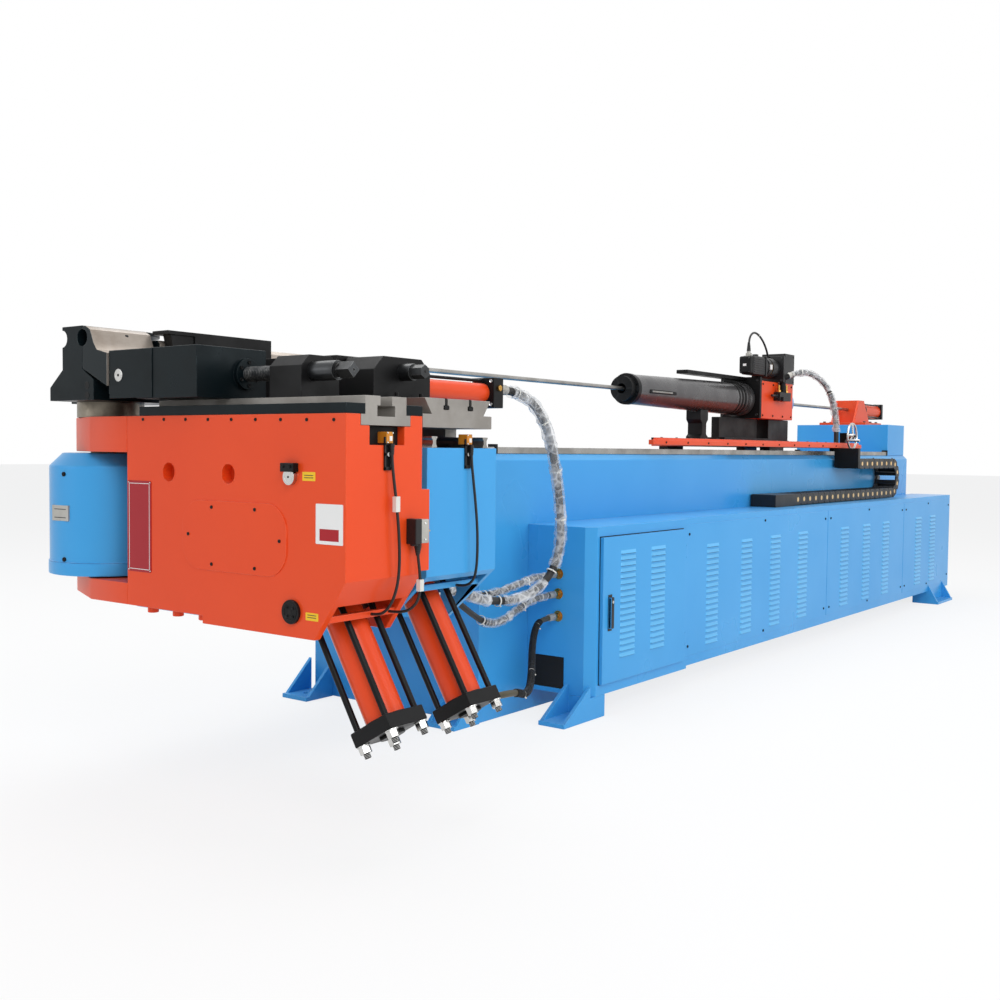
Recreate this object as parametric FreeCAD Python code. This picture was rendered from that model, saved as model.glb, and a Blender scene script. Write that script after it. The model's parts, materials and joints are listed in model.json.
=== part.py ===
import FreeCAD, Part
import math
import os

from FreeCAD import Vector

# Pipe bending machine. +X runs along the bed to its rear, +Y is the far side, +Z is up.
# The origin lies on the floor, under the bend spindle in X and under the pipe's axis in Y.
# All sizes are in millimetres.

# Pipe and bending tool
pipe_radius = 28.5
pipe_z = 1560.0
bend_radius = 171.0
die_gap = 0.5
insert_rear_x = -30.0
insert_far_foot = 76.0
insert_far_foot_height = 46.0
insert_shoulder_drop = 105.0
die_front_x = -227.0
die_top_rise = 41.0
die_flange_drop = 108.0
die_base_radius = 205.0
die_base_height = 50.0
insert_depth = 118.0
insert_toe = 63.0
insert_toe_height = 68.0
boss_radius = 116.0
spindle_radius = 70.0
spindle_clearance = 0.08

# Swing arm
arm_front_x = -166.0
arm_rear_x = 161.0
arm_top_z = 1297.0
arm_bottom_z = 640.0
arm_near_y = -1178.0
arm_step_y = -550.0
arm_step = 25.0
arm_notch_y = -160.0
arm_slant_top_z = 818.0
arm_slant_y = -1053.0
arm_wall = 25.0
lug_top_bottom_z = 1176.0
lug_bottom_top_z = 738.0
lug_facet_y = 50.0
lug_end_y = 300.0
lug_end_half = 58.0
channel_depth = 33.0
channel_far_y = -215.0
end_pocket_width = 149.0
end_pocket_height = 56.0
end_pocket_depth = 180.0
end_pocket_shift = 5.0
access_hole_radius = 31.0
access_hole_depth = 40.0
access_hole_y = (-383.0, -675.0)
access_hole_z = 1115.0
gib_height = 30.0
gib_far_y = -228.0
stub_radius = 18.0
stub_height = 22.0
stub_y = (-246.0, -378.0, -510.0)
slide_clearance = 0.5

# Clamp slide on the arm
slide_body_half = 88.0
slide_flange_half = 106.0
slide_top_z = 1350.0
slide_far_y = -228.0
slot_mouth_half = 25.0
slot_mouth_depth = 28.0
slot_wide_half = 38.0
slot_wide_height = 31.0
holder_front_x = -219.0
holder_rear_x = 60.0
holder_far_y = -138.0
holder_near_y = -591.0
holder_top_z = 1511.0
holder_undercut = 18.0
clamp_die_rear_x = 12.0
nut_block_half = 80.0
nut_block_far_y = -764.0
nut_block_near_y = -905.0
nut_block_top_z = 1480.0
nut_block_chamfer = 34.0
clamp_screw_x = -25.0
clamp_screw_radius = 23.0
clamp_collar_radius = 30.0
clamp_collar_length = 100.0
clamp_screw_z = 1430.0
clamp_screw_tip_y = -1030.0
clamp_square_half = 17.0
clamp_square_length = 40.0
clamp_flange_radius = 50.0
clamp_flange_thick = 16.0

# Fixed head, hub and pressure box
hub_radius = 210.0
hub_bottom_z = 743.0
hub_top_z = 1171.0
hub_chamfer = 46.0
hub_rim_height = 46.0
hub_rim_step = 4.0
head_front_x = 176.0
head_near_y = -239.0
head_bottom_z = 560.0
neck_half = 190.0
box_front_x = 280.0
box_rear_x = 642.0
box_near_y = -1096.0
box_top_z = 1202.0
box_front_bottom_z = 790.0
box_slant_y = -899.0
box_bottom_z = 609.0
box_wall = 20.0
rail_width = 28.0
rail_height = 36.0
rail_waist = 6.0
rail_offset = 132.0
rail_mid_x = 447.0

# Pressure slide
slide_fit = 0.5
pressure_mid_x = 435.0
pressure_flange_half = 178.0
pressure_flange_height = 43.0
pressure_top_half = 170.0
pressure_undercut = 36.0
pressure_slide_near_y = -1096.0
pressure_slide_far_y = -300.0
pressure_slide_bottom_z = 1266.0
pressure_top_z = 1360.0
bearing_width = 60.0
bearing_length = 110.0
t_slot_offset = 62.0
t_slot_half = 7.0
t_slot_depth = 22.0
t_slot_wide_half = 14.0
t_slot_wide_height = 14.0
block_half = 143.0
block_far_y = -686.0
block_near_y = -852.0
block_top_z = 1505.0
block_chamfer = 46.0
pressure_screw_radius = 25.0
pressure_screw_z = 1455.0
pressure_screw_collar = 45.0
pressure_screw_hex = 18.0
pressure_screw_hex_length = 55.0
booster_radius = 36.0
booster_cap_half = 57.0
booster_cap_thick = 60.0
booster_y = -776.0
booster_z = 1412.0
booster_length = 452.0
die_holder_front_x = 134.0
die_holder_rear_x = 490.0
pressure_die_rear_x = 1110.0
pressure_die_front_x = 25.0
pressure_die_width = 82.0
pressure_die_top_rise = 8.0
pressure_die_drop = 48.0
hood_front_x = 18.0
hood_near_y = -135.0
hood_far_y = -48.0
hood_bottom_z = 1586.0
hood_thick = 14.0
travel_gap = 6.0

# Hydraulic cylinders of the clamp and the pressure die
cylinder_radius = 62.0
cylinder_cap_half = 82.0
cylinder_cap_thick = 46.0
cylinder_length = 495.0
cylinder_tilt_deg = 31.0
tie_rod_radius = 10.0
tie_rod_offset = 64.0
tie_rod_stub = 40.0
cylinder_nut_radius = 19.0
trunnion_radius = 22.0
trunnion_gap = 0.05
clamp_cylinder_x = 30.0
clamp_pivot_y = -961.0
clamp_pivot_z = 716.0
pressure_cylinder_x = 455.0
pressure_pivot_y = -918.0
pressure_pivot_z = 702.0
pivot_cap_radius = 36.0
pivot_cap_thick = 10.0
toggle_pin_radius = 24.0
toggle_pin_y = -957.0
toggle_pin_z = 1112.0
toggle_pin_head = 14.0

# Cutting shapes that run clean through a part
cut_reach = 2000.0
seat_reach = 400.0

# Bed
bed_front_x = 1430.0
bed_rear_x = 7250.0
bed_half = 415.0
bed_top_z = 1180.0
bed_edge_chamfer = 30.0
origin_x = (bed_front_x + bed_rear_x) / 2
base_rear_x = 2050.0
base_far_y = 600.0
foot_front_x = 1255.0
foot_plate = 20.0
foot_height = 170.0
foot_width = 165.0
foot_far_edge_y = 640.0
gusset_thick = 18.0
anchor_hole_radius = 13.0
anchor_x = 1330.0
rail_bar_width = 35.0
rail_bar_height = 29.0
rail_bar_y = 370.0
rail_bar_front_x = 1560.0
rail_bar_rear_x = 6830.0
rear_block_front_x = 6840.0
rear_block_top_z = 1430.0

# Cabinets along the near side
door_cabinet_front_x = 1791.0
door_cabinet_rear_x = 2690.0
door_cabinet_near_y = -764.0
cabinet_near_y = -729.0
cabinet_rear_x = 7400.0
cabinet_bottom_z = 100.0
cabinet_top_z = 858.0
cabinet_wall = 15.0
cabinet_chamfer = 40.0
door_front_x = 1854.0
door_rear_x = 2633.0
door_bottom_z = 151.0
door_top_z = 811.0
door_thick = 18.0
hinge_x = 2641.0
hinge_y = -774.0
hinge_z = (262.0, 700.0)
hinge_pin_radius = 5.0
hinge_clearance = 0.06
hinge_barrel_radius = 9.0
hinge_barrel_half = 24.5
hinge_half = 35.0
door_handle_inset = 58.0
door_handle_x = door_front_x + door_handle_inset
door_handle_z = (400.0, 540.0)
door_handle_width = 26.0
door_handle_depth = 16.0
panel_thick = 4.0
panel_margin = 3.0
panel_split_x = (2714.0, 4664.0, 6197.0, 7390.0)
panel_bottom_z = 150.0
panel_top_z = 826.0
cabinet_foot_front_x = 1582.0
cabinet_foot_plate = 20.0
cabinet_foot_height = 150.0
cabinet_foot_width = 136.0
rear_foot_front_x = 6860.0
rear_foot_width = 390.0
rear_foot_reach = 84.0
fitting_y = -585.0
fitting_z = (642.0, 551.0, 450.0)
fitting_radius = 14.0
fitting_length = 34.0
duct_y = (-618.0, -445.0)
duct_z = (121.0, 265.0)
duct_depth = 60.0

# Feed carriage
carriage_front_x = 2860.0
carriage_rear_x = 6020.0
carriage_half = 460.0
carriage_bottom_z = 1232.0
carriage_thick = 26.0
carriage_strip_thick = 12.0
carriage_strip_margin = 40.0
carriage_apron = 30.0
carriage_tongue_x = 3850.0
carriage_tongue_y = 100.0
carriage_wide_x = 4470.0
carriage_block_length = 220.0
carriage_block_width = 70.0
carriage_block_x = (4480.0, 5700.0)
chuck_front_x = 3372.0
chuck_rear_x = 4790.0
chuck_front_radius = 88.0
chuck_rear_radius = 111.0
chuck_bore = 30.0
collet_front_x = 3290.0
collet_radius = 74.0
collet_ring_thick = 34.0
collar_radius = 118.0
collar_length = 80.0
chuck_shaft_radius = 60.0
chuck_shaft_gap = 0.05
gearbox_front_x = 4915.0
gearbox_rear_x = 5470.0
gearbox_half = 140.0
gearbox_bottom_z = 1430.0
gearbox_top_z = 1690.0
yoke_thick = 30.0
yoke_bar = 24.0
yoke_bar_half = 40.0
yoke_arm_front_x = 4030.0
sole_front_x = 4510.0
sole_rear_x = 5560.0
sole_half = 70.0
base_web_half = 28.0
base_web_rear_x = 5110.0
base_block_front_x = 5210.0
base_sole = 24.0
support_front_x = 4196.0
support_rear_x = 4304.0
support_half = 52.0
support_top_z = 1470.0
support_seat_radius = 106.0
support_waist = 30.0
motor_half_width = 46.0
motor_half_height = 62.0
motor_corner = 14.0
motor_side_y = -116.0
motor_x = 4700.0
motor_y = -100.0
motor_z = 1785.0
motor_length = 250.0
reducer_radius = 72.0
reducer_length = 230.0
motor_plate_thick = 24.0
motor_box_front_x = 5390.0
motor_box_rear_x = 5560.0
motor_box_top_z = 1910.0
motor_box_y = (-110.0, 70.0)
manifold_x = 5130.0
manifold_z = 1560.0
manifold_size = (190.0, 50.0, 60.0)
bracket_front_x = 5550.0
bracket_rear_x = 5590.0
bracket_bed_gap = 15.0
bracket_width = 176.0
bracket_y = (-bed_half - bracket_bed_gap - bracket_width, -bed_half - bracket_bed_gap)
bracket_bottom_z = 1090.0

# Handwheel on the carriage
wheel_x = 5709.0
wheel_y = -500.0
wheel_z = 1318.0
wheel_radius = 96.0
wheel_rim = 8.0
wheel_hub = 20.0
wheel_hub_length = 40.0
wheel_pin_radius = 9.0
wheel_pin_gap = 0.05
wheel_post_x = 40.0
handle_length = 90.0
handle_radius = 8.0

# Mandrel at the rear
rod_radius = 12.0
rod_front_x = 350.0
mandrel_plate_front_x = 6850.0
mandrel_plate_rear_x = 7240.0
mandrel_plate_half = 195.0
mandrel_plate_thick = 20.0
mandrel_gusset_half = 100.0
mandrel_face_x = 6960.0
mandrel_tube_radius = 58.0
mandrel_tube_rear_x = 7650.0
mandrel_cap_half = 66.0
mandrel_cap_thick = 40.0
mandrel_rod_gap = 0.08

# Cable chain beside the bed
chain_bed_gap = 10.0
chain_width = 164.0
chain_far_y = -bed_half - chain_bed_gap
chain_near_y = chain_far_y - chain_width
chain_foot_length = 300.0
chain_front_x = 4165.0
chain_link_height = 74.0
chain_bottom_z = 861.0
chain_upper_top_z = 1158.0
chain_bend_x = 6366.0
chain_upper_front_x = 5620.0

# Bare plates on the arm's face
name_plate_y = (-292.0, -166.0)
name_plate_z = (781.0, 1083.0)
notice_plate_y = (-1168.0, -1059.0)
notice_plate_z = (922.0, 1038.0)
bare_plate_thick = 2.0
ear_thick = 36.0
ear_y = (-1178.0, -900.0)
ear_z = (826.0, 1075.0)

# Hoses and cables
hose_radius = 12.0
booster_hose_radius = 16.0
carriage_hose_radius = 17.0
cable_radius = 4.5
motor_cable_radius = 7.0
port_length = 28.0
port_wall = 6.0
cable_bar = 20.0
arm_bar_y = -1090.0
arm_bar_z = 690.0
box_bar_y = -1035.0
box_bar_z = 735.0
box_ports = ((-560.0, 700.0), (-640.0, 680.0), (-745.0, 650.0))
booster_port_z = 1430.0
booster_port_length = 45.0
gland_radius = 7.0
gland_length = 24.0
gland_z = 1228.0
motor_gland_x = 4760.0
motor_gland_length = 33.0
hose_elbow = (5225.0, -165.0, 1722.0)
cylinder_port_length = 23.0
fitting_tip_x = door_cabinet_front_x - fitting_length

# Small devices
sensor_size = 40.0
sensor_plate_width = 28.0
sensor_plate_height = 100.0
sensor_plate_thick = 6.0
arm_sensor_x = 2.0
pressure_sensor_x = 480.0
sensor_z = 1232.0
switch_x = 120.0
switch_z = 950.0
switch_width = 62.0
switch_height = 78.0
switch_depth = 40.0

os.makedirs("parts", exist_ok=True)


def block(x0, x1, y0, y1, z0, z1):
    return Part.makeBox(x1 - x0, y1 - y0, z1 - z0, Vector(x0, y0, z0))


def cylinder(base, direction, radius, length):
    return Part.makeCylinder(radius, length, Vector(*base), Vector(*direction))


def prism_along_x(outline, x0, x1):
    points = [Vector(x0, y, z) for y, z in outline]
    face = Part.Face(Part.makePolygon(points + points[:1]))
    return face.extrude(Vector(x1 - x0, 0, 0))


def prism_along_y(outline, y0, y1):
    points = [Vector(x, y0, z) for x, z in outline]
    face = Part.Face(Part.makePolygon(points + points[:1]))
    return face.extrude(Vector(0, y1 - y0, 0))


def prism_along_z(outline, z0, z1):
    points = [Vector(x, y, z0) for x, y in outline]
    face = Part.Face(Part.makePolygon(points + points[:1]))
    return face.extrude(Vector(0, 0, z1 - z0))


# A profile of (radius, z) points turned about a vertical axis
def turned(profile, centre_x, centre_y):
    points = [Vector(centre_x + r, centre_y, z) for r, z in profile]
    face = Part.Face(Part.makePolygon(points + points[:1]))
    return face.revolve(Vector(centre_x, centre_y, 0), Vector(0, 0, 1), 360)


def joined(shapes):
    whole = shapes[0]
    if len(shapes) > 1:
        whole = shapes[0].multiFuse(shapes[1:])
    return whole.removeSplitter()


def save(name, shape):
    shape.translate(Vector(-origin_x, 0, 0))
    shape.exportStep("parts/" + name + ".step")
    print(name, "solids", len(shape.Solids), "valid", shape.isValid())


# Bed frame: the long box, its wider front end and the chamfered top edges
def make_bed_frame():
    c = bed_edge_chamfer
    outline = [
        (-bed_half, 0), (-bed_half, bed_top_z - c), (-bed_half + c, bed_top_z),
        (bed_half - c, bed_top_z), (bed_half, bed_top_z - c), (bed_half, 0),
    ]
    beam = prism_along_x(outline, bed_front_x, bed_rear_x)
    widening = block(bed_front_x, base_rear_x, bed_half - 1, base_far_y, 0, bed_top_z - 2 * c)
    return joined([beam, widening])


# Feet under the bed's front end: a plate with a hole and two gussets each
def make_bed_feet():
    feet = []
    for y0 in (-bed_half - 8, foot_far_edge_y - foot_width):
        y1 = y0 + foot_width
        plate = block(foot_front_x, bed_front_x, y0, y1, 0, foot_plate)
        hole = cylinder((anchor_x, (y0 + y1) / 2, -1), (0, 0, 1), anchor_hole_radius, foot_plate + 2)
        solids = [plate.cut(hole)]
        for g in (y0, y1 - gusset_thick):
            outline = [
                (foot_front_x + 20, foot_plate), (bed_front_x, foot_plate), (bed_front_x, foot_height),
            ]
            solids.append(prism_along_y(outline, g, g + gusset_thick))
        feet.append(joined(solids))
    return feet


# Fixed hub between the arm's two lugs
def make_hub_cover():
    rim = hub_radius + hub_rim_step
    profile = [
        (0, hub_bottom_z), (rim, hub_bottom_z), (rim, hub_bottom_z + hub_rim_height),
        (hub_radius, hub_bottom_z + hub_rim_height), (hub_radius, hub_top_z - hub_chamfer),
        (hub_radius - hub_chamfer, hub_top_z), (0, hub_top_z),
    ]
    hub = turned(profile, 0, bend_radius)
    bore = cylinder((0, bend_radius, 0), (0, 0, 1), spindle_radius + spindle_clearance,
        cut_reach)
    return hub.cut(bore)


# Head that carries the hub in front of the bed
def make_head_beam():
    neck = block(
        0, head_front_x, bend_radius - neck_half, bend_radius + neck_half, hub_bottom_z, hub_top_z)
    outline = [
        (head_front_x, hub_bottom_z), (head_front_x, hub_top_z), (bed_front_x, hub_top_z),
        (bed_front_x, head_bottom_z - 120), (box_rear_x, head_bottom_z), (box_front_x, head_bottom_z),
    ]
    beam = prism_along_y(outline, head_near_y, bed_half)
    hub = turned(
        [(0, 0), (hub_radius + hub_rim_step, 0), (hub_radius + hub_rim_step, cut_reach), (0, cut_reach)],
        0, bend_radius)
    return joined([neck, beam]).cut(hub)


# Pressure box: a welded trough, open below, that carries the pressure slide
def make_pressure_box():
    outline = [
        (head_near_y, box_top_z), (box_near_y, box_top_z), (box_near_y, box_front_bottom_z),
        (box_slant_y, box_bottom_z), (head_near_y, box_bottom_z),
    ]
    shell = prism_along_x(outline, box_front_x, box_rear_x)
    inside = block(
        box_front_x + box_wall, box_rear_x - box_wall,
        box_near_y + box_wall, head_near_y - box_wall, 0, box_top_z - box_wall)
    pin = cylinder(
        (box_front_x - 1, pressure_pivot_y, pressure_pivot_z), (1, 0, 0),
        trunnion_radius + trunnion_gap, box_rear_x - box_front_x + 2)
    bar = block(
        box_front_x + box_wall, box_rear_x - box_wall, box_bar_y, box_bar_y + cable_bar,
        box_bar_z, box_bar_z + cable_bar)
    solids = [shell.cut(inside).cut(pin), bar]
    for y, z in box_ports:
        solids.append(cylinder(
            (box_rear_x, y, z), (1, 0, 0), booster_hose_radius + port_wall, port_length))
    return joined(solids)


def make_pressure_rails():
    rails = []
    for side in (-1, 1):
        x = rail_mid_x + side * rail_offset
        h = rail_width / 2
        w = h - rail_waist
        z0 = box_top_z
        z1 = box_top_z + rail_height
        third = rail_height / 3
        outline = [
            (x - h, z0), (x + h, z0), (x + w, z0 + third), (x + w, z1 - third),
            (x + h, z1 - 4), (x + h, z1), (x - h, z1), (x - h, z1 - 4),
            (x - w, z1 - third), (x - w, z0 + third),
        ]
        rails.append(prism_along_y(outline, box_near_y, head_near_y))
    return Part.makeCompound(rails)


# Door cabinet: a hollow sheet box with the door's opening in its near side
def make_door_cabinet():
    c = cabinet_chamfer
    outline = [
        (door_cabinet_front_x, -bed_half), (door_cabinet_front_x, door_cabinet_near_y + c),
        (door_cabinet_front_x + c, door_cabinet_near_y), (door_cabinet_rear_x, door_cabinet_near_y),
        (door_cabinet_rear_x, -bed_half),
    ]
    shell = prism_along_z(outline, cabinet_bottom_z, cabinet_top_z)
    inside = block(
        door_cabinet_front_x + c, door_cabinet_rear_x - cabinet_wall,
        door_cabinet_near_y + cabinet_wall, -bed_half - cabinet_wall,
        cabinet_bottom_z + cabinet_wall, cabinet_top_z - cabinet_wall)
    doorway = block(
        door_front_x + 12, door_rear_x - 12, door_cabinet_near_y - 1,
        door_cabinet_near_y + cabinet_wall + 1, door_bottom_z + 12, door_top_z - 12)
    duct = block(
        door_cabinet_front_x - 1, door_cabinet_front_x + duct_depth, duct_y[0], duct_y[1],
        duct_z[0], duct_z[1])
    solids = [shell.cut(inside).cut(doorway).cut(duct)]
    r = hinge_barrel_radius
    for z in hinge_z:
        solids.append(cylinder(
            (hinge_x, hinge_y, z - hinge_half), (0, 0, 1), hinge_pin_radius, 2 * hinge_half))
        for z0 in (z - hinge_half, z + hinge_barrel_half + 0.5):
            z1 = z0 + hinge_half - hinge_barrel_half - 0.5
            solids.append(cylinder((hinge_x, hinge_y, z0), (0, 0, 1), r, z1 - z0))
            solids.append(block(
                hinge_x, hinge_x + r, hinge_y, door_cabinet_near_y + 1, z0, z1))
    return joined(solids)


def make_side_cabinet():
    solids = [block(
        door_cabinet_rear_x, cabinet_rear_x, cabinet_near_y, -bed_half, cabinet_bottom_z, cabinet_top_z)]
    for x0, x1 in zip(panel_split_x[:-1], panel_split_x[1:]):
        solids.append(block(
            x0 + panel_margin, x1 - panel_margin, cabinet_near_y - panel_thick, cabinet_near_y,
            panel_bottom_z, panel_top_z))
    return joined(solids)


def make_cabinet_feet():
    y0 = door_cabinet_near_y
    y1 = y0 + cabinet_foot_width
    front = [block(cabinet_foot_front_x, door_cabinet_front_x + 120, y0, y1, 0, cabinet_foot_plate)]
    front.append(block(
        door_cabinet_front_x, door_cabinet_front_x + 120, y0, y1, cabinet_foot_plate, cabinet_bottom_z))
    outline = [
        (cabinet_foot_front_x + 12, cabinet_foot_plate), (door_cabinet_front_x, cabinet_foot_plate),
        (door_cabinet_front_x, cabinet_foot_height),
    ]
    for g in (y0, y1 - gusset_thick):
        front.append(prism_along_y(outline, g, g + gusset_thick))
    x0 = rear_foot_front_x
    x1 = x0 + rear_foot_width
    y2 = cabinet_near_y - rear_foot_reach
    rear = [block(x0, x1, y2, cabinet_near_y + 120, 0, cabinet_foot_plate)]
    rear.append(block(
        x0, x1, cabinet_near_y, cabinet_near_y + 120, cabinet_foot_plate, cabinet_bottom_z))
    outline = [
        (y2 + 8, cabinet_foot_plate), (cabinet_near_y, cabinet_foot_plate),
        (cabinet_near_y, cabinet_foot_height),
    ]
    for g in (x0, x1 - gusset_thick):
        rear.append(prism_along_x(outline, g, g + gusset_thick))
    return [joined(front), joined(rear)]


def make_cabinet_door():
    y0 = door_cabinet_near_y - 1
    y1 = y0 - door_thick
    door = block(door_front_x, door_rear_x, y1, y0, door_bottom_z, door_top_z)
    handle = block(
        door_handle_x - door_handle_width / 2, door_handle_x + door_handle_width / 2,
        y1 - door_handle_depth, y1, door_handle_z[0], door_handle_z[1])
    relief = cylinder(
        (hinge_x, hinge_y, 0), (0, 0, 1), hinge_barrel_radius + 1, cabinet_top_z)
    solids = [door.cut(relief), handle]
    for z in hinge_z:
        solids.append(cylinder(
            (hinge_x, hinge_y, z - hinge_barrel_half), (0, 0, 1), hinge_barrel_radius,
            2 * hinge_barrel_half))
        solids.append(block(
            door_rear_x - 4, hinge_x, hinge_y - hinge_barrel_radius, hinge_y,
            z - hinge_barrel_half, z + hinge_barrel_half))
    pin = cylinder(
        (hinge_x, hinge_y, 0), (0, 0, 1), hinge_pin_radius + hinge_clearance, cabinet_top_z)
    return joined(solids).cut(pin)


def make_bed_rails():
    rails = []
    for side in (-1, 1):
        y = side * rail_bar_y
        rails.append(block(
            rail_bar_front_x, rail_bar_rear_x, y - rail_bar_width / 2, y + rail_bar_width / 2,
            bed_top_z, bed_top_z + rail_bar_height))
    return Part.makeCompound(rails)


def make_rear_block():
    return block(rear_block_front_x, bed_rear_x, -bed_half + 30, bed_half - 30, bed_top_z, rear_block_top_z)


# Mandrel bracket: base plate, face plate and two gussets
def make_mandrel_bracket():
    z0 = rear_block_top_z
    z1 = z0 + mandrel_plate_thick
    top = pipe_z + mandrel_cap_half + 10
    solids = [block(
        mandrel_plate_front_x, mandrel_plate_rear_x, -mandrel_plate_half, mandrel_plate_half, z0, z1)]
    solids.append(block(
        mandrel_face_x, mandrel_face_x + 40, -mandrel_gusset_half, mandrel_gusset_half, z1, top))
    outline = [
        (mandrel_plate_front_x + 10, z1), (mandrel_face_x, top), (mandrel_face_x + 120, top),
        (mandrel_plate_rear_x - 20, z1),
    ]
    for y in (-mandrel_gusset_half, mandrel_gusset_half - gusset_thick):
        solids.append(prism_along_y(outline, y, y + gusset_thick))
    bore = cylinder(
        (mandrel_face_x - 10, 0, pipe_z), (1, 0, 0), rod_radius + mandrel_rod_gap, 60)
    return joined(solids).cut(bore)


def make_mandrel_cylinder():
    x0 = mandrel_face_x + 40
    tube = cylinder(
        (x0, 0, pipe_z), (1, 0, 0), mandrel_tube_radius, mandrel_tube_rear_x - x0)
    cap = block(
        mandrel_tube_rear_x - mandrel_cap_thick, mandrel_tube_rear_x + 10,
        -mandrel_cap_half, mandrel_cap_half, pipe_z - mandrel_cap_half, pipe_z + mandrel_cap_half)
    bore = cylinder((x0 - 1, 0, pipe_z), (1, 0, 0), rod_radius + 12, mandrel_tube_rear_x - x0 - 60)
    return joined([tube, cap]).cut(bore)


def make_mandrel_rod():
    return cylinder(
        (rod_front_x, 0, pipe_z), (1, 0, 0), rod_radius, mandrel_face_x + 240 - rod_front_x)


# Cable chain: lower run, bend and upper run as one fixed loop
def make_energy_chain():
    outer = (chain_upper_top_z - chain_bottom_z) / 2
    inner = outer - chain_link_height
    mid = chain_bottom_z + outer
    lower = block(
        chain_front_x, chain_bend_x, chain_near_y, chain_far_y,
        chain_bottom_z, chain_bottom_z + chain_link_height)
    upper = block(
        chain_upper_front_x, chain_bend_x, chain_near_y, chain_far_y,
        chain_upper_top_z - chain_link_height, chain_upper_top_z)
    bend = cylinder((chain_bend_x, chain_near_y, mid), (0, 1, 0), outer, chain_width)
    bend = bend.cut(cylinder((chain_bend_x, chain_near_y - 1, mid), (0, 1, 0), inner, chain_width + 2))
    bend = bend.cut(block(
        chain_bend_x - 2 * outer, chain_bend_x, chain_near_y - 1, chain_far_y + 1,
        mid - 2 * outer, mid + 2 * outer))
    foot = block(
        chain_front_x, chain_front_x + chain_foot_length, chain_near_y, chain_far_y,
        cabinet_top_z, chain_bottom_z)
    return joined([lower, upper, bend, foot])


def make_hose_fittings():
    fittings = []
    for z in fitting_z:
        x1 = door_cabinet_front_x
        fittings.append(cylinder((x1, fitting_y, z), (-1, 0, 0), fitting_radius, fitting_length))
    return Part.makeCompound(fittings)


# Swing arm
def arm_outline():
    return [
        (arm_notch_y, arm_top_z), (arm_near_y, arm_top_z), (arm_near_y, arm_slant_top_z),
        (arm_slant_y, arm_bottom_z), (arm_step_y, arm_bottom_z), (arm_step_y, arm_bottom_z + arm_step),
        (arm_notch_y, arm_bottom_z + arm_step),
    ]


def make_arm_body():
    body = prism_along_x(arm_outline(), arm_front_x, arm_rear_x)
    half = slide_flange_half + slide_clearance
    channel = block(
        -half, half, arm_near_y - 1, channel_far_y, arm_top_z - channel_depth, arm_top_z + 1)
    body = body.cut(channel)
    pocket_top = arm_top_z - channel_depth
    mid = end_pocket_shift
    pocket = block(
        mid - end_pocket_width / 2, mid + end_pocket_width / 2, arm_near_y - 1,
        arm_near_y + end_pocket_depth, pocket_top - end_pocket_height, pocket_top + 1)
    body = body.cut(pocket)
    for y in access_hole_y:
        body = body.cut(cylinder(
            (arm_front_x - 1, y, access_hole_z), (1, 0, 0), access_hole_radius, access_hole_depth))
    cover_z = arm_slant_top_z - 78
    cover_y = arm_near_y + 54
    cavity = prism_along_x(
        [(arm_near_y - 150, arm_bottom_z - 60), (arm_near_y - 150, cover_z), (cover_y, cover_z),
         (cover_y + 20, cover_z + 12), (arm_near_y + arm_wall, arm_slant_top_z + 8),
         (arm_near_y + arm_wall, arm_slant_top_z + 80), (arm_near_y + 420, arm_slant_top_z + 80),
         (arm_near_y + 420, arm_bottom_z - 60)],
        arm_front_x + arm_wall, arm_rear_x - arm_wall)
    body = body.cut(cavity)
    pin = cylinder(
        (arm_front_x - 1, clamp_pivot_y, clamp_pivot_z), (1, 0, 0),
        trunnion_radius + trunnion_gap, arm_rear_x - arm_front_x + 2)
    body = body.cut(pin)
    ear = block(arm_rear_x - 1, arm_rear_x + ear_thick, ear_y[0], ear_y[1], ear_z[0], ear_z[1])
    body = body.fuse(ear)
    bar = block(
        arm_front_x + arm_wall, arm_rear_x - arm_wall, arm_bar_y, arm_bar_y + cable_bar,
        arm_bar_z, arm_bar_z + cable_bar)
    body = body.fuse(bar)
    for y in stub_y:
        base = arm_bottom_z + arm_step
        stub = cylinder((arm_front_x + 40, y, base + 2), (0, 0, -1), stub_radius, stub_height + 2)
        body = body.fuse(stub)
    return body.removeSplitter()


def lug_outline():
    return [
        (arm_front_x, arm_notch_y), (arm_front_x, lug_facet_y), (-lug_end_half, lug_end_y),
        (lug_end_half, lug_end_y), (arm_rear_x, lug_facet_y), (arm_rear_x, arm_notch_y),
    ]


def make_arm_top_lug():
    lug = prism_along_z(lug_outline(), lug_top_bottom_z, arm_top_z)
    return lug.cut(cylinder((0, bend_radius, 0), (0, 0, 1), spindle_radius, cut_reach))


def make_arm_bottom_lug():
    lug = prism_along_z(lug_outline(), arm_bottom_z + arm_step, lug_bottom_top_z)
    return lug.cut(cylinder((0, bend_radius, 0), (0, 0, 1), spindle_radius, cut_reach))


def make_arm_gibs():
    inner = slide_body_half + slide_clearance
    gibs = []
    for x0, x1 in ((arm_front_x, -inner), (inner, arm_rear_x)):
        gibs.append(block(x0, x1, arm_near_y, gib_far_y, arm_top_z, arm_top_z + gib_height))
    return Part.makeCompound(gibs)


def make_spindle():
    boss = cylinder((0, bend_radius, arm_top_z), (0, 0, 1), boss_radius, slide_top_z - arm_top_z)
    low = arm_bottom_z + arm_step
    shaft = cylinder((0, bend_radius, low), (0, 0, 1), spindle_radius, arm_top_z - low + 1)
    return joined([boss, shaft])


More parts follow.
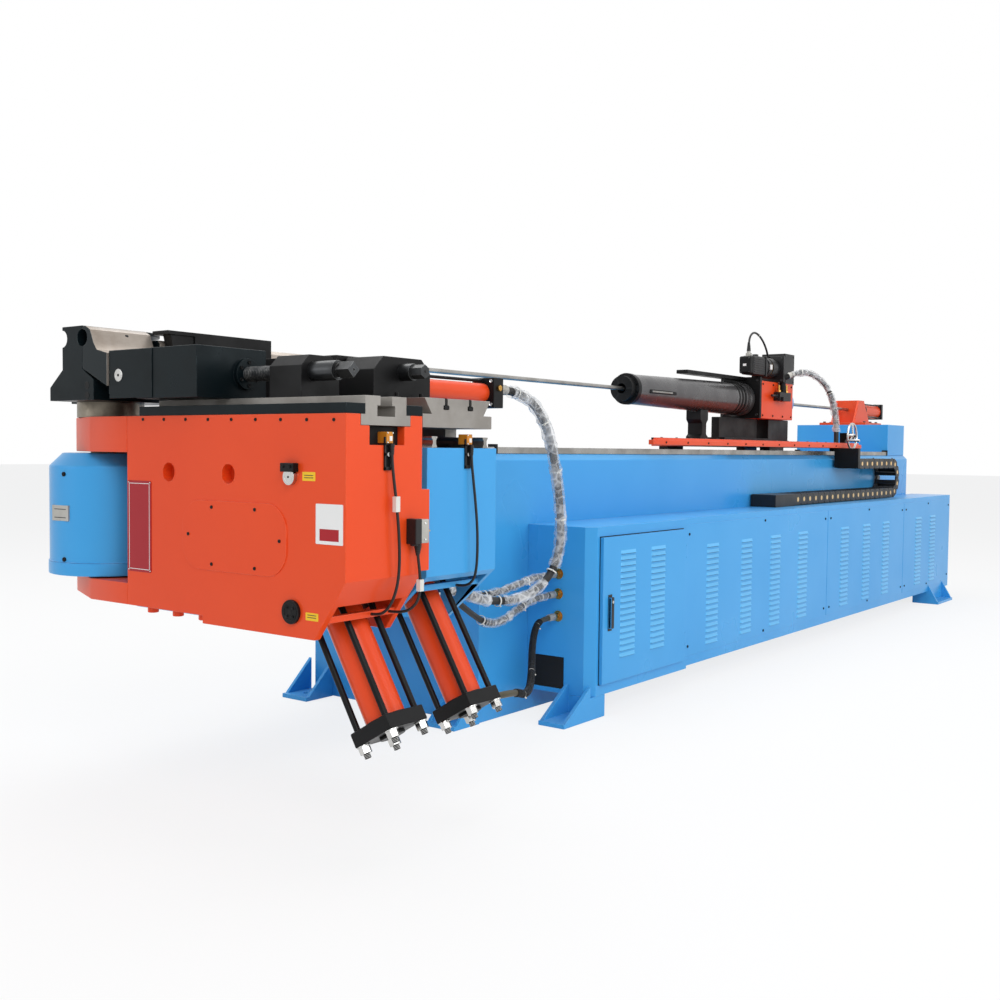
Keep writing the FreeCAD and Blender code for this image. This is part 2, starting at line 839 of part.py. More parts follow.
# Bend die: a disc with the pipe's groove round it, cut flat where the grip insert sits
def make_bend_die():
    top = pipe_z + die_top_rise
    rim = bend_radius - die_gap
    shoulder = pipe_z - die_flange_drop
    disc = cylinder((0, bend_radius, shoulder), (0, 0, 1), rim, top - shoulder)
    groove = Part.makeTorus(
        bend_radius, pipe_radius, Vector(0, bend_radius, pipe_z), Vector(0, 0, 1))
    seat = block(
        die_front_x - 100, insert_rear_x, -seat_reach, 2 * seat_reach, 0, cut_reach)
    return disc.cut(groove).cut(seat).removeSplitter()


# Base of the bend die: a flange that tapers up to the disc
def make_die_base():
    shoulder = pipe_z - die_flange_drop
    profile = [
        (0, slide_top_z), (die_base_radius, slide_top_z),
        (die_base_radius, slide_top_z + die_base_height), (bend_radius - die_gap, shoulder),
        (0, shoulder),
    ]
    seat = block(
        die_front_x - 100, insert_rear_x, -seat_reach, 2 * seat_reach, 0, cut_reach)
    return turned(profile, 0, bend_radius).cut(seat)


def make_grip_insert():
    top = pipe_z + die_top_rise
    far = insert_depth + insert_far_foot
    shoulder = pipe_z - insert_shoulder_drop
    outline = [
        (die_gap, top), (die_gap, shoulder), (-insert_toe, slide_top_z + insert_toe_height),
        (-insert_toe, slide_top_z), (far, slide_top_z), (far, slide_top_z + insert_far_foot_height),
        (insert_depth, shoulder), (insert_depth, top),
    ]
    insert = prism_along_x(outline, die_front_x, insert_rear_x)
    for y in (0, insert_depth + die_gap):
        insert = insert.cut(cylinder((die_front_x - 1, y, pipe_z), (1, 0, 0), pipe_radius, 400))
    return insert


# Caps of the trunnion pin and of the toggle pin, on both faces of the arm
def make_pivot_caps():
    solids = []
    for x, way in ((arm_front_x, -1), (arm_rear_x, 1)):
        cap = cylinder((x, clamp_pivot_y, clamp_pivot_z), (way, 0, 0), pivot_cap_radius, pivot_cap_thick)
        solids.append(cap)
        pin = cylinder((x, toggle_pin_y, toggle_pin_z), (way, 0, 0), toggle_pin_radius, toggle_pin_head)
        solids.append(pin)
    return Part.makeCompound(solids)


def make_sensor(x, carrier_near_y):
    plate = block(
        x - sensor_plate_width / 2, x + sensor_plate_width / 2,
        carrier_near_y - sensor_plate_thick, carrier_near_y,
        sensor_z - sensor_plate_height, sensor_z)
    body = block(
        x - sensor_size / 2, x + sensor_size / 2, carrier_near_y - sensor_plate_thick,
        carrier_near_y + sensor_size, sensor_z - 21, sensor_z + 16)
    gland = cylinder(
        (x + sensor_size / 4, carrier_near_y - sensor_plate_thick - 0.8 * gland_radius, gland_z),
        (0, 0, -1), gland_radius, gland_length)
    return joined([plate, body, gland])


def make_limit_switch():
    return block(
        switch_x - switch_width / 2, switch_x + switch_width / 2, arm_near_y - switch_depth, arm_near_y,
        switch_z - switch_height / 2, switch_z + switch_height / 2)


def make_arm_switches():
    sensor = make_sensor(arm_sensor_x, arm_near_y)
    return Part.makeCompound([sensor, make_limit_switch()])


# Bare plates on the arm's face
def make_name_plate():
    return block(
        arm_front_x - bare_plate_thick, arm_front_x, name_plate_y[0], name_plate_y[1],
        name_plate_z[0], name_plate_z[1])


def make_notice_plate():
    return block(
        arm_front_x - bare_plate_thick, arm_front_x, notice_plate_y[0], notice_plate_y[1],
        notice_plate_z[0], notice_plate_z[1])


# Clamp slide and what it carries
def make_clamp_slide_plate():
    b = slide_body_half
    f = slide_flange_half
    z0 = arm_top_z - channel_depth + slide_clearance
    z1 = arm_top_z - slide_clearance
    z2 = slide_top_z
    m = slot_mouth_half
    w = slot_wide_half
    z3 = z2 - slot_mouth_depth
    z4 = z3 - slot_wide_height
    outline = [
        (-f, z0), (f, z0), (f, z1), (b, z1), (b, z2), (m, z2), (m, z3), (w, z3), (w, z4),
        (-w, z4), (-w, z3), (-m, z3), (-m, z2), (-b, z2), (-b, z1), (-f, z1),
    ]
    return prism_along_y(outline, arm_near_y, slide_far_y)


def make_clamp_die():
    top = pipe_z + die_top_rise - 2
    shoulder = pipe_z - insert_shoulder_drop
    outline = [
        (-die_gap, top), (-20, top - 1), (-44, top - 13), (-54, top - 34), (-64, top - 58),
        (-82, top - 82), (holder_far_y, holder_top_z - 7), (holder_far_y, shoulder - 60),
        (-5, shoulder), (-die_gap, shoulder + 6),
    ]
    die = prism_along_x(outline, die_front_x, clamp_die_rear_x)
    groove = cylinder((die_front_x - 1, 0, pipe_z), (1, 0, 0), pipe_radius, 400)
    return die.cut(groove)


def make_clamp_holder():
    front = holder_front_x
    body = block(
        front, holder_rear_x, holder_near_y, holder_far_y, slide_top_z, holder_top_z)
    undercut = block(
        front - 1, holder_rear_x + 1, slide_far_y - 60, holder_far_y + 1, slide_top_z - 1,
        slide_top_z + holder_undercut)
    flange = cylinder(
        (clamp_screw_x, holder_near_y, clamp_screw_z), (0, -1, 0), clamp_flange_radius,
        clamp_flange_thick)
    return joined([body.cut(undercut), flange])


def make_clamp_nut_block():
    h = nut_block_half
    c = nut_block_chamfer
    z0 = slide_top_z
    z1 = nut_block_top_z
    outline = [
        (-h, z0), (h, z0), (h, z1 - c), (h - c, z1), (-h + c, z1), (-h, z1 - c),
    ]
    nut = prism_along_y(outline, nut_block_near_y, nut_block_far_y)
    bore = cylinder(
        (clamp_screw_x, nut_block_near_y - 1, clamp_screw_z), (0, 1, 0), clamp_screw_radius,
        nut_block_far_y - nut_block_near_y + 2)
    return nut.cut(bore)


def make_clamp_screw():
    x = clamp_screw_x
    z = clamp_screw_z
    start = holder_near_y - clamp_flange_thick
    shaft = cylinder((x, start, z), (0, -1, 0), clamp_screw_radius, start - clamp_screw_tip_y)
    collar = cylinder(
        (x, nut_block_near_y, z), (0, -1, 0), clamp_collar_radius, clamp_collar_length)
    s = clamp_square_half
    square = block(
        x - s, x + s, clamp_screw_tip_y - clamp_square_length, clamp_screw_tip_y, z - s, z + s)
    return joined([shaft, collar, square])


# Pressure slide and what it carries
def make_pressure_slide_plate():
    m = pressure_mid_x
    f = pressure_flange_half
    t = pressure_top_half
    u = pressure_undercut
    z0 = pressure_slide_bottom_z
    z1 = z0 + pressure_flange_height
    z2 = pressure_top_z
    outline = [
        (m - f, z0), (m + f, z0), (m + f, z1), (m + t - u, z1), (m + t, z2), (m - t, z2),
        (m - t + u, z1), (m - f, z1),
    ]
    plate = prism_along_y(outline, pressure_slide_near_y, pressure_slide_far_y)
    for side in (-1, 1):
        x = m + side * t_slot_offset
        z3 = z2 - t_slot_depth
        y0 = pressure_slide_near_y - 1
        y1 = pressure_slide_far_y + 1
        plate = plate.cut(block(x - t_slot_half, x + t_slot_half, y0, y1, z3, z2 + 1))
        plate = plate.cut(block(
            x - t_slot_wide_half, x + t_slot_wide_half, y0, y1, z3 - t_slot_wide_height, z3))
    solids = [plate]
    for side in (-1, 1):
        x = rail_mid_x + side * rail_offset
        for y in (pressure_slide_near_y + 150, pressure_slide_far_y - 60 - bearing_length):
            solids.append(block(
                x - bearing_width / 2, x + bearing_width / 2, y, y + bearing_length,
                box_top_z + rail_height + 0.4, z0))
    return joined(solids)


def make_pressure_block():
    m = pressure_mid_x
    h = block_half
    c = block_chamfer
    z0 = pressure_top_z
    z1 = block_top_z
    outline = [
        (m - h, z0), (m + h, z0), (m + h, z1 - c), (m + h - c, z1), (m - h + c, z1), (m - h, z1 - c),
    ]
    return prism_along_y(outline, block_near_y, block_far_y)


def make_pressure_screw():
    m = pressure_mid_x
    collar = cylinder(
        (m, block_near_y, pressure_screw_z), (0, -1, 0), pressure_screw_radius, pressure_screw_collar)
    start = block_near_y - pressure_screw_collar
    corners = []
    for i in range(6):
        a = math.radians(60 * i)
        corners.append((
            m + pressure_screw_hex * math.cos(a), pressure_screw_z + pressure_screw_hex * math.sin(a)))
    tip = prism_along_y(corners, start - pressure_screw_hex_length, start)
    return joined([collar, tip])


def make_booster():
    x0 = pressure_mid_x + block_half
    x1 = x0 + booster_length
    tube = cylinder((x0, booster_y, booster_z), (1, 0, 0), booster_radius, booster_length)
    h = booster_cap_half
    cap = block(
        x1 - booster_cap_thick, x1, booster_y - h, booster_y + h, booster_z - h, booster_z + h)
    port = cylinder(
        (x1, booster_y, booster_port_z), (1, 0, 0), booster_hose_radius + port_wall,
        booster_port_length)
    return joined([tube, cap, port])


def make_pressure_die():
    top = pipe_z + pressure_die_top_rise
    low = pipe_z - pressure_die_drop
    start = pressure_die_front_x
    w = pressure_die_width
    outline = [
        (-die_gap, top), (-w + 14, top), (-w, top - 14), (-w, low), (-die_gap, low),
    ]
    die = prism_along_x(outline, start, pressure_die_rear_x)
    groove = cylinder((start - 1, 0, pipe_z), (1, 0, 0), pipe_radius, pressure_die_rear_x - start + 2)
    return die.cut(groove)


# Holder of the pressure die, with its hood over the clamp die's end
def make_pressure_holder():
    near = block_far_y + travel_gap
    wall = -pressure_die_width - slide_fit
    low = pipe_z - pressure_die_drop - slide_fit
    x1 = pressure_mid_x + block_half
    body = block(pressure_mid_x - block_half, x1, near, wall, pressure_top_z, low)
    shelf = block(die_holder_front_x, x1, wall - 60, 0, low - 40, low)
    front = block(die_holder_front_x, die_holder_rear_x, hood_near_y, wall, low - 40, hood_bottom_z)
    hood = block(
        hood_front_x, die_holder_rear_x, hood_near_y, hood_far_y, hood_bottom_z,
        hood_bottom_z + hood_thick)
    return joined([body, shelf, front, hood])


# Tie-rod cylinder that hangs from a trunnion pin and leans away from the bed below
def make_tie_rod_cylinder(mid_x, pin_half):
    z_top = 70.0
    length = cylinder_length
    tube = cylinder((0, 0, z_top), (0, 0, -1), cylinder_radius, length)
    h = cylinder_cap_half
    t = cylinder_cap_thick
    solids = [tube]
    for z in (z_top - t, z_top - length):
        solids.append(block(-h, h, -h, h, z, z + t))
    bottom = z_top - length - tie_rod_stub
    for sx in (-1, 1):
        for sy in (-1, 1):
            x = sx * tie_rod_offset
            y = sy * tie_rod_offset
            solids.append(cylinder((x, y, bottom), (0, 0, 1), tie_rod_radius, length + tie_rod_stub))
            solids.append(cylinder((x, y, z_top - length), (0, 0, -1), cylinder_nut_radius, 26))
    pin = cylinder((-pin_half, 0, 0), (1, 0, 0), trunnion_radius, 2 * pin_half)
    solids.append(pin)
    whole = joined(solids)
    whole.rotate(Vector(0, 0, 0), Vector(1, 0, 0), -cylinder_tilt_deg)
    return whole


def make_clamp_cylinder():
    whole = make_tie_rod_cylinder(0, cylinder_cap_half)
    whole.translate(Vector(clamp_cylinder_x, clamp_pivot_y, clamp_pivot_z))
    pin = cylinder(
        (arm_front_x + 1, clamp_pivot_y, clamp_pivot_z), (1, 0, 0), trunnion_radius,
        arm_rear_x - arm_front_x - 2)
    return joined([whole, pin])


def make_pressure_cylinder():
    whole = make_tie_rod_cylinder(0, cylinder_cap_half)
    whole.translate(Vector(pressure_cylinder_x, pressure_pivot_y, pressure_pivot_z))
    tilt = math.radians(cylinder_tilt_deg)
    drop = cylinder_length - 70 - cylinder_cap_thick / 2
    port = cylinder(
        (pressure_cylinder_x + cylinder_cap_half - 1, pressure_pivot_y - drop * math.sin(tilt),
         pressure_pivot_z - drop * math.cos(tilt)),
        (1, 0, 0), hose_radius + port_wall, cylinder_port_length + 1)
    whole = joined([whole, port])
    pin = cylinder(
        (box_front_x + 1, pressure_pivot_y, pressure_pivot_z), (1, 0, 0), trunnion_radius,
        box_rear_x - box_front_x - 2)
    return joined([whole, pin])


# Feed carriage
def make_carriage_plate():
    z0 = carriage_bottom_z
    z1 = z0 + carriage_thick
    h = carriage_half
    solids = [prism_along_z([
        (carriage_front_x, -h), (carriage_rear_x, -h), (carriage_rear_x, h), (carriage_wide_x, h),
        (carriage_wide_x, carriage_tongue_y), (carriage_tongue_x, carriage_tongue_y),
        (carriage_tongue_x, -h + carriage_apron), (carriage_front_x, -h + carriage_apron),
    ], z0, z1)]
    m = carriage_strip_margin
    solids.append(prism_along_z([
        (carriage_front_x + m, -h + 6), (carriage_rear_x - m, -h + 6), (carriage_rear_x - m, h - m),
        (carriage_wide_x + m, h - m), (carriage_wide_x + m, carriage_tongue_y - 6),
        (carriage_tongue_x + 6, carriage_tongue_y - 6), (carriage_tongue_x + 6, -h + carriage_apron - 6),
        (carriage_front_x + m, -h + carriage_apron - 6),
    ], z1, z1 + carriage_strip_thick))
    return joined(solids)


def make_carriage_blocks():
    blocks = []
    for x in carriage_block_x:
        for side in (-1, 1):
            y = side * rail_bar_y
            blocks.append(block(
                x, x + carriage_block_length, y - carriage_block_width / 2, y + carriage_block_width / 2,
                bed_top_z + rail_bar_height + 0.4, carriage_bottom_z))
    return Part.makeCompound(blocks)


def make_chuck_base():
    z0 = carriage_bottom_z + carriage_thick + carriage_strip_thick
    w = base_web_half
    b = sole_half
    sole = block(sole_front_x, sole_rear_x, -b, b, z0, z0 + base_sole)
    web = block(sole_front_x, base_web_rear_x, -w, w, z0, gearbox_bottom_z)
    rear = block(base_block_front_x, sole_rear_x, -b, b, z0, gearbox_bottom_z)
    return joined([sole, web, rear])


def make_front_support():
    z0 = carriage_bottom_z + carriage_thick + carriage_strip_thick
    w = support_waist
    mid = (support_front_x + support_rear_x) / 2
    low = support_top_z - 90
    outline = [
        (support_front_x, z0), (support_rear_x, z0), (support_rear_x, z0 + 24), (mid + w, z0 + 40),
        (mid + w, low), (support_rear_x, low + 24), (support_rear_x, support_top_z),
        (support_front_x, support_top_z), (support_front_x, low + 24), (mid - w, low),
        (mid - w, z0 + 40), (support_front_x, z0 + 24),
    ]
    post = prism_along_y(outline, -support_half, support_half)
    seat = cylinder(
        (support_front_x - 1, 0, pipe_z), (1, 0, 0), support_seat_radius,
        support_rear_x - support_front_x + 2)
    return post.cut(seat)


def make_gearbox():
    body = block(
        gearbox_front_x, gearbox_rear_x, -gearbox_half, gearbox_half, gearbox_bottom_z, gearbox_top_z)
    bore = cylinder(
        (gearbox_front_x - 1, 0, pipe_z), (1, 0, 0), chuck_shaft_radius + chuck_shaft_gap,
        gearbox_rear_x - gearbox_front_x + 2)
    return body.cut(bore)


# Yoke: a plate round the chuck with one bar above and one below it
def make_yoke_frame():
    half = gearbox_half + 8
    z0 = gearbox_bottom_z
    z1 = gearbox_top_z + 24
    x1 = gearbox_front_x
    x0 = x1 - yoke_thick
    plate = block(x0, x1, -half, half, z0, z1)
    bore = cylinder((x0 - 1, 0, pipe_z), (1, 0, 0), chuck_shaft_radius + 8, yoke_thick + 2)
    bar = block(yoke_arm_front_x, x0, -yoke_bar_half, yoke_bar_half, z1 - yoke_bar, z1)
    return joined([plate.cut(bore), bar])


def make_servo_drive():
    z0 = gearbox_top_z
    x1 = motor_x + motor_length
    x2 = x1 + reducer_length
    w = motor_half_width
    h = motor_half_height
    c = motor_corner
    outline = [
        (-w, -h + c), (-w + c, -h), (w - c, -h), (w, -h + c), (w, h - c), (w - c, h), (-w + c, h),
        (-w, h - c),
    ]
    outline = [(motor_side_y + y, motor_z + z) for y, z in outline]
    solids = [prism_along_x(outline, motor_x, x1)]
    solids.append(cylinder((x1, motor_y, motor_z), (1, 0, 0), reducer_radius, reducer_length))
    solids.append(cylinder(
        (motor_gland_x, motor_side_y, motor_z), (0, 0, 1), motor_cable_radius + port_wall,
        motor_half_height + motor_gland_length))
    solids.append(block(
        x2, x2 + motor_plate_thick, motor_y - 90, motor_y + 150, z0, motor_z + 90))
    solids.append(block(
        motor_box_front_x, motor_box_rear_x, motor_box_y[0], motor_box_y[1], z0, motor_box_top_z))
    solids.append(block(
        x2, motor_box_front_x, motor_box_y[0] + 20, motor_box_y[1], motor_z + 70, motor_z + 90))
    sx, sy, sz = manifold_size
    valve = block(
        manifold_x, manifold_x + sx, -gearbox_half - sy, -gearbox_half, manifold_z, manifold_z + sz)
    centre = Vector(*hose_elbow)
    reach = Vector(*carriage_hose_points[0]) - centre
    r = carriage_hose_radius + port_wall
    elbow = [
        valve, Part.makeSphere(r, centre), cylinder(hose_elbow, tuple(reach), r, reach.Length),
        cylinder(
            (hose_elbow[0], hose_elbow[1], manifold_z), (0, 0, 1), r, hose_elbow[2] - manifold_z),
    ]
    return Part.makeCompound([joined(solids), joined(elbow)])


def make_chain_bracket():
    y0, y1 = bracket_y
    drop = block(bracket_front_x, bracket_rear_x, y0, y1, bracket_bottom_z, carriage_bottom_z)
    foot = block(
        bracket_front_x, bracket_rear_x + 60, y1 - 60, y1, carriage_bottom_z - 12, carriage_bottom_z)
    return joined([drop, foot])


# Chuck: a tapered tube with a collar, bored for the mandrel rod
def make_chuck_tube():
    cone = Part.makeCone(
        chuck_front_radius, chuck_rear_radius, chuck_rear_x - chuck_front_x,
        Vector(chuck_front_x, 0, pipe_z), Vector(1, 0, 0))
    collar = cylinder((chuck_rear_x, 0, pipe_z), (1, 0, 0), collar_radius, collar_length)
    shaft = cylinder(
        (chuck_rear_x + collar_length, 0, pipe_z), (1, 0, 0), chuck_shaft_radius,
        gearbox_rear_x - chuck_rear_x - collar_length + 20)
    bore = cylinder((chuck_front_x - 1, 0, pipe_z), (1, 0, 0), chuck_bore,
        gearbox_rear_x - chuck_front_x + 50)
    return joined([cone, collar, shaft]).cut(bore)


def make_chuck_collet():
    ring = cylinder((chuck_front_x - collet_ring_thick, 0, pipe_z), (1, 0, 0), chuck_front_radius + 4, collet_ring_thick)
    nose = cylinder(
        (collet_front_x, 0, pipe_z), (1, 0, 0), collet_radius,
        chuck_front_x - collet_ring_thick - collet_front_x)
    bore = cylinder((collet_front_x - 1, 0, pipe_z), (1, 0, 0), chuck_bore, 200)
    return joined([ring, nose]).cut(bore)


def make_handwheel():
    r = wheel_radius - wheel_rim
    rim = Part.makeTorus(r, wheel_rim, Vector(wheel_x, wheel_y, wheel_z), Vector(0, 1, 0))
    hub = cylinder(
        (wheel_x, wheel_y - wheel_hub_length / 2, wheel_z), (0, 1, 0), wheel_hub, wheel_hub_length)
    solids = [rim, hub]
    for i in range(3):
        a = math.radians(90 + 120 * i)
        solids.append(cylinder(
            (wheel_x, wheel_y, wheel_z), (math.cos(a), 0, math.sin(a)), 6, r))
    solids.append(cylinder(
        (wheel_x, wheel_y, wheel_z - r), (0, -1, 0), handle_radius, handle_length))
    bore = cylinder(
        (wheel_x, wheel_y - wheel_hub_length, wheel_z), (0, 1, 0), wheel_pin_radius + wheel_pin_gap,
        2 * wheel_hub_length)
    return joined(solids).cut(bore)


def make_wheel_stand():
    z0 = carriage_bottom_z + carriage_thick + carriage_strip_thick
    y0 = wheel_y + wheel_hub_length / 2 + 1
    post = block(
        wheel_x - wheel_post_x / 2, wheel_x + wheel_post_x / 2, -carriage_half + 6, -carriage_half + 46,
        z0, wheel_z + 25)
    arm = block(
        wheel_x - wheel_post_x / 2, wheel_x + wheel_post_x / 2, y0, -carriage_half + 6, wheel_z - 25,
        wheel_z + 25)
    pin = cylinder((wheel_x, y0 + 2, wheel_z), (0, -1, 0), wheel_pin_radius, wheel_hub_length + 8)
    return joined([post, arm, pin])


# A hose or cable: straight runs through the points, joined by tangent arcs
def make_cord(name, radius, points):
    nodes = [Vector(*p) for p in points]
    edges = []
    at = nodes[0]
    arcs = []
    for before, here, after in zip(nodes, nodes[1:], nodes[2:]):
        back = (before - here).normalize()
        ahead = (after - here).normalize()
        turn = math.pi - back.getAngle(ahead)
        shorter = min((before - here).Length, (after - here).Length)
        reach = 0.45 * shorter
        arcs.append(reach / math.tan(turn / 2))
        start = here + back * reach
        end = here + ahead * reach
        middle = (back + ahead).normalize()
        centre_gap = math.sqrt(reach ** 2 + arcs[-1] ** 2)
        top = here + middle * (centre_gap - arcs[-1])
        edges.append(Part.LineSegment(at, start).toShape())
        edges.append(Part.Arc(start, top, end).toShape())
        at = end
    edges.append(Part.LineSegment(at, nodes[-1]).toShape())
    path = Part.Wire(edges)
    circle = Part.Wire(Part.makeCircle(radius, nodes[0], nodes[1] - nodes[0]))
    tube = path.makePipeShell([circle], True, True)
    ideal = math.pi * radius ** 2 * path.Length
    print(name, "length", round(path.Length), "smallest arc", round(min(arcs)),
          "volume ratio", round(tube.Volume / ideal, 4))
    return tube


box_port_x = box_rear_x + port_length
lower_port_y = -1124.8
lower_port_z = 357.4
gland_tip_z = gland_z - gland_length
arm_gland_y = arm_near_y - sensor_plate_thick - 0.8 * gland_radius
box_gland_y = box_near_y - sensor_plate_thick - 0.8 * gland_radius
booster_hose_points = [
    (pressure_mid_x + block_half + booster_length + booster_port_length, booster_y, booster_port_z),
    (1230, booster_y, booster_port_z), (1390, -775, 1330), (1490, -768, 1130), (1540, -760, 930),
    (1560, -750, 790), (1520, -730, 670), (1420, -705, 597), (1270, -685, 577), (1120, -666, 596),
    (970, -650, 648), (820, -640, 680), (box_port_x, -640, 680),
]
upper_hose_points = [
    (fitting_tip_x, fitting_y, fitting_z[0]), (1620, fitting_y, fitting_z[0]), (1470, -591, 622),
    (1310, -590, 597), (1150, -580, 600), (990, -566, 648), (830, -560, 700),
    (box_port_x, -560, 700),
]
middle_hose_points = [
    (fitting_tip_x, fitting_y, fitting_z[1]), (1610, fitting_y, fitting_z[1]), (1450, -612, 524),
    (1290, -650, 490), (1130, -692, 500), (980, -730, 560), (825, -745, 650),
    (box_port_x, -745, 650),
]
lower_hose_points = [
    (fitting_tip_x, fitting_y, fitting_z[2]), (1650, fitting_y, fitting_z[2]), (1530, -640, 425),
    (1370, -740, 375), (1200, -860, 330), (1030, -975, 306), (860, -1075, 314),
    (715, lower_port_y, lower_port_z),
    (pressure_cylinder_x + cylinder_cap_half + cylinder_port_length, lower_port_y, lower_port_z),
]
arm_cable_points = [
    (12, arm_gland_y, gland_tip_z), (12, arm_gland_y, 1166), (16, -1194, 1108), (24, -1199, 1030),
    (31, -1202, 950), (36, -1201, 870), (37, -1195, 805), (35, -1178, 750), (34, -1150, 714),
    (34, -1120, 700), (34, arm_bar_y, 700),
]
switch_cable_points = [
    (switch_x, -1198, switch_z - switch_height / 2), (switch_x, -1198, 880), (124, -1202, 836),
    (128, -1203, 784), (127, -1196, 742), (120, -1172, 712), (112, -1135, 700),
    (112, arm_bar_y, 700),
]
box_cable_points = [
    (490, box_gland_y, gland_tip_z), (490, box_gland_y, 1166), (494, -1112, 1108),
    (501, -1117, 1030), (507, -1121, 950), (509, -1122, 875), (508, -1120, 812), (507, -1112, 772),
    (506, -1094, 750), (506, -1066, 741), (506, box_bar_y, 741),
]
motor_cable_points = [
    (motor_gland_x, motor_side_y, motor_z + motor_half_height + motor_gland_length),
    (motor_gland_x, motor_side_y, 1922), (4772, -114, 1966), (4808, -111, 2000), (4866, -106, 2016),
    (4940, -99, 2010), (5014, -90, 1990), (5086, -80, 1960), (5150, -68, 1926), (5186, -61, 1902),
    (5204, -58, 1875),
]
carriage_hose_points = [
    (5260.2, -190, 1737.9), (5318.3, -231.2, 1764.2), (5392, -283.6, 1766), (5461.4, -332.8, 1735),
    (5518.4, -373.3, 1672), (5555.1, -399.3, 1590), (5577.1, -414.9, 1495), (5592, -425.6, 1395),
    (5592, -425.6, 1270),
]

pieces = {
    "bed_frame": make_bed_frame(),
    "machine_feet": Part.makeCompound(make_bed_feet() + make_cabinet_feet()),
    "hub_cover": make_hub_cover(),
    "head_beam": make_head_beam(),
    "pressure_box": make_pressure_box(),
    "pressure_rails": make_pressure_rails(),
    "pressure_cylinder": make_pressure_cylinder(),
    "pressure_sensor": make_sensor(pressure_sensor_x, box_near_y),
    "door_cabinet": make_door_cabinet(),
    "side_cabinet": make_side_cabinet(),
    "bed_rails": make_bed_rails(),
    "rear_block": make_rear_block(),
    "mandrel_bracket": make_mandrel_bracket(),
    "mandrel_cylinder": make_mandrel_cylinder(),
    "energy_chain": make_energy_chain(),
    "hose_fittings": make_hose_fittings(),
    "arm_body": make_arm_body(),
    "arm_lugs": Part.makeCompound([make_arm_top_lug(), make_arm_bottom_lug()]),
    "arm_gibs": make_arm_gibs(),
    "spindle": make_spindle(),
    "bend_die": make_bend_die(),
    "die_base": make_die_base(),
    "grip_insert": make_grip_insert(),
    "pivot_caps": make_pivot_caps(),
    "arm_switches": make_arm_switches(),
    "arm_plates": Part.makeCompound([make_name_plate(), make_notice_plate()]),
    "clamp_cylinder": make_clamp_cylinder(),
    "clamp_slide_plate": make_clamp_slide_plate(),
    "clamp_die": make_clamp_die(),
    "clamp_holder": make_clamp_holder(),
    "clamp_nut_block": make_clamp_nut_block(),
    "clamp_screw": make_clamp_screw(),
    "pressure_slide_plate": make_pressure_slide_plate(),
    "pressure_block": make_pressure_block(),
    "pressure_screw": make_pressure_screw(),
    "booster_cylinder": make_booster(),
    "pressure_holder": make_pressure_holder(),
    "pressure_die": make_pressure_die(),
    "carriage_plate": make_carriage_plate(),
    "carriage_blocks": make_carriage_blocks(),
    "chuck_base": make_chuck_base(),
    "front_support": make_front_support(),
    "gearbox": make_gearbox(),
    "yoke_frame": make_yoke_frame(),
    "servo_drive": make_servo_drive(),
    "carriage_brackets": Part.makeCompound([make_chain_bracket(), make_wheel_stand()]),
    "chuck_tube": make_chuck_tube(),
    "chuck_collet": make_chuck_collet(),
    "handwheel": make_handwheel(),
    "mandrel_rod": make_mandrel_rod(),
    "cabinet_door": make_cabinet_door(),
    "booster_hose": make_cord("booster hose", booster_hose_radius, booster_hose_points),
    "upper_hose": make_cord("upper hose", hose_radius, upper_hose_points),
    "middle_hose": make_cord("middle hose", hose_radius, middle_hose_points),
    "lower_hose": make_cord("lower hose", hose_radius, lower_hose_points),
    "arm_cable": make_cord("arm cable", cable_radius, arm_cable_points),
    "switch_cable": make_cord("switch cable", cable_radius, switch_cable_points),
    "box_cable": make_cord("box cable", cable_radius, box_cable_points),
    "motor_cable": make_cord("motor cable", motor_cable_radius, motor_cable_points),
    "carriage_hose": make_cord("carriage hose", carriage_hose_radius, carriage_hose_points),
}
for name, shape in pieces.items():
    save(name, shape)
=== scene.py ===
import json
import math

import bmesh
import bpy
from mathutils import Matrix, Vector, noise


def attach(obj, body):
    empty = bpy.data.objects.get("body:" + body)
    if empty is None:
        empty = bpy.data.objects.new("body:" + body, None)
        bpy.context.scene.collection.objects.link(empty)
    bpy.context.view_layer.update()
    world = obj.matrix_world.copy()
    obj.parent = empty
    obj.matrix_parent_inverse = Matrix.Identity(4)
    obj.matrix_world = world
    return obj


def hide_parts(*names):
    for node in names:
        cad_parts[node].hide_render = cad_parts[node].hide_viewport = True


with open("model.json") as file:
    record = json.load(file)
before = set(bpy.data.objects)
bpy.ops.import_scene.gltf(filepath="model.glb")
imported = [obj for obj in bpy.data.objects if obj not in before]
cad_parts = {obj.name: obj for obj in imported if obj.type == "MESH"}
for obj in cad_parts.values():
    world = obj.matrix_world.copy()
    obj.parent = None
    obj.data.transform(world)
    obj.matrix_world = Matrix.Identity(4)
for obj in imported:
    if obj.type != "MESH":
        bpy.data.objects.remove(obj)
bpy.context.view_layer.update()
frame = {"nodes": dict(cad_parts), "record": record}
print("frame loaded")

bedMiddle = 4340.0          # mm from the bending axis to the middle of the bed
pipeHeight = 1560.0
metre = 0.001


# Colours are given as they look on a screen
def tone(red, green, blue):
    linear = []
    for value in (red, green, blue):
        value = value / 255
        linear.append(value / 12.92 if value <= 0.04045 else ((value + 0.055) / 1.055) ** 2.4)
    return (*linear, 1.0)


# Material helpers
def addNode(tree, kind, inputs=None, **settings):
    made = tree.nodes.new(kind)
    for name, value in settings.items():
        setattr(made, name, value)
    for name, value in (inputs or {}).items():
        made.inputs[name].default_value = value
    return made


def mathNode(tree, operation, first, second=None, clamp=False):
    made = addNode(tree, "ShaderNodeMath", operation=operation, use_clamp=clamp)
    for index, value in enumerate((first, second)):
        if value is None:
            continue
        if isinstance(value, (int, float)):
            made.inputs[index].default_value = value
        else:
            tree.links.new(value, made.inputs[index])
    return made.outputs[0]


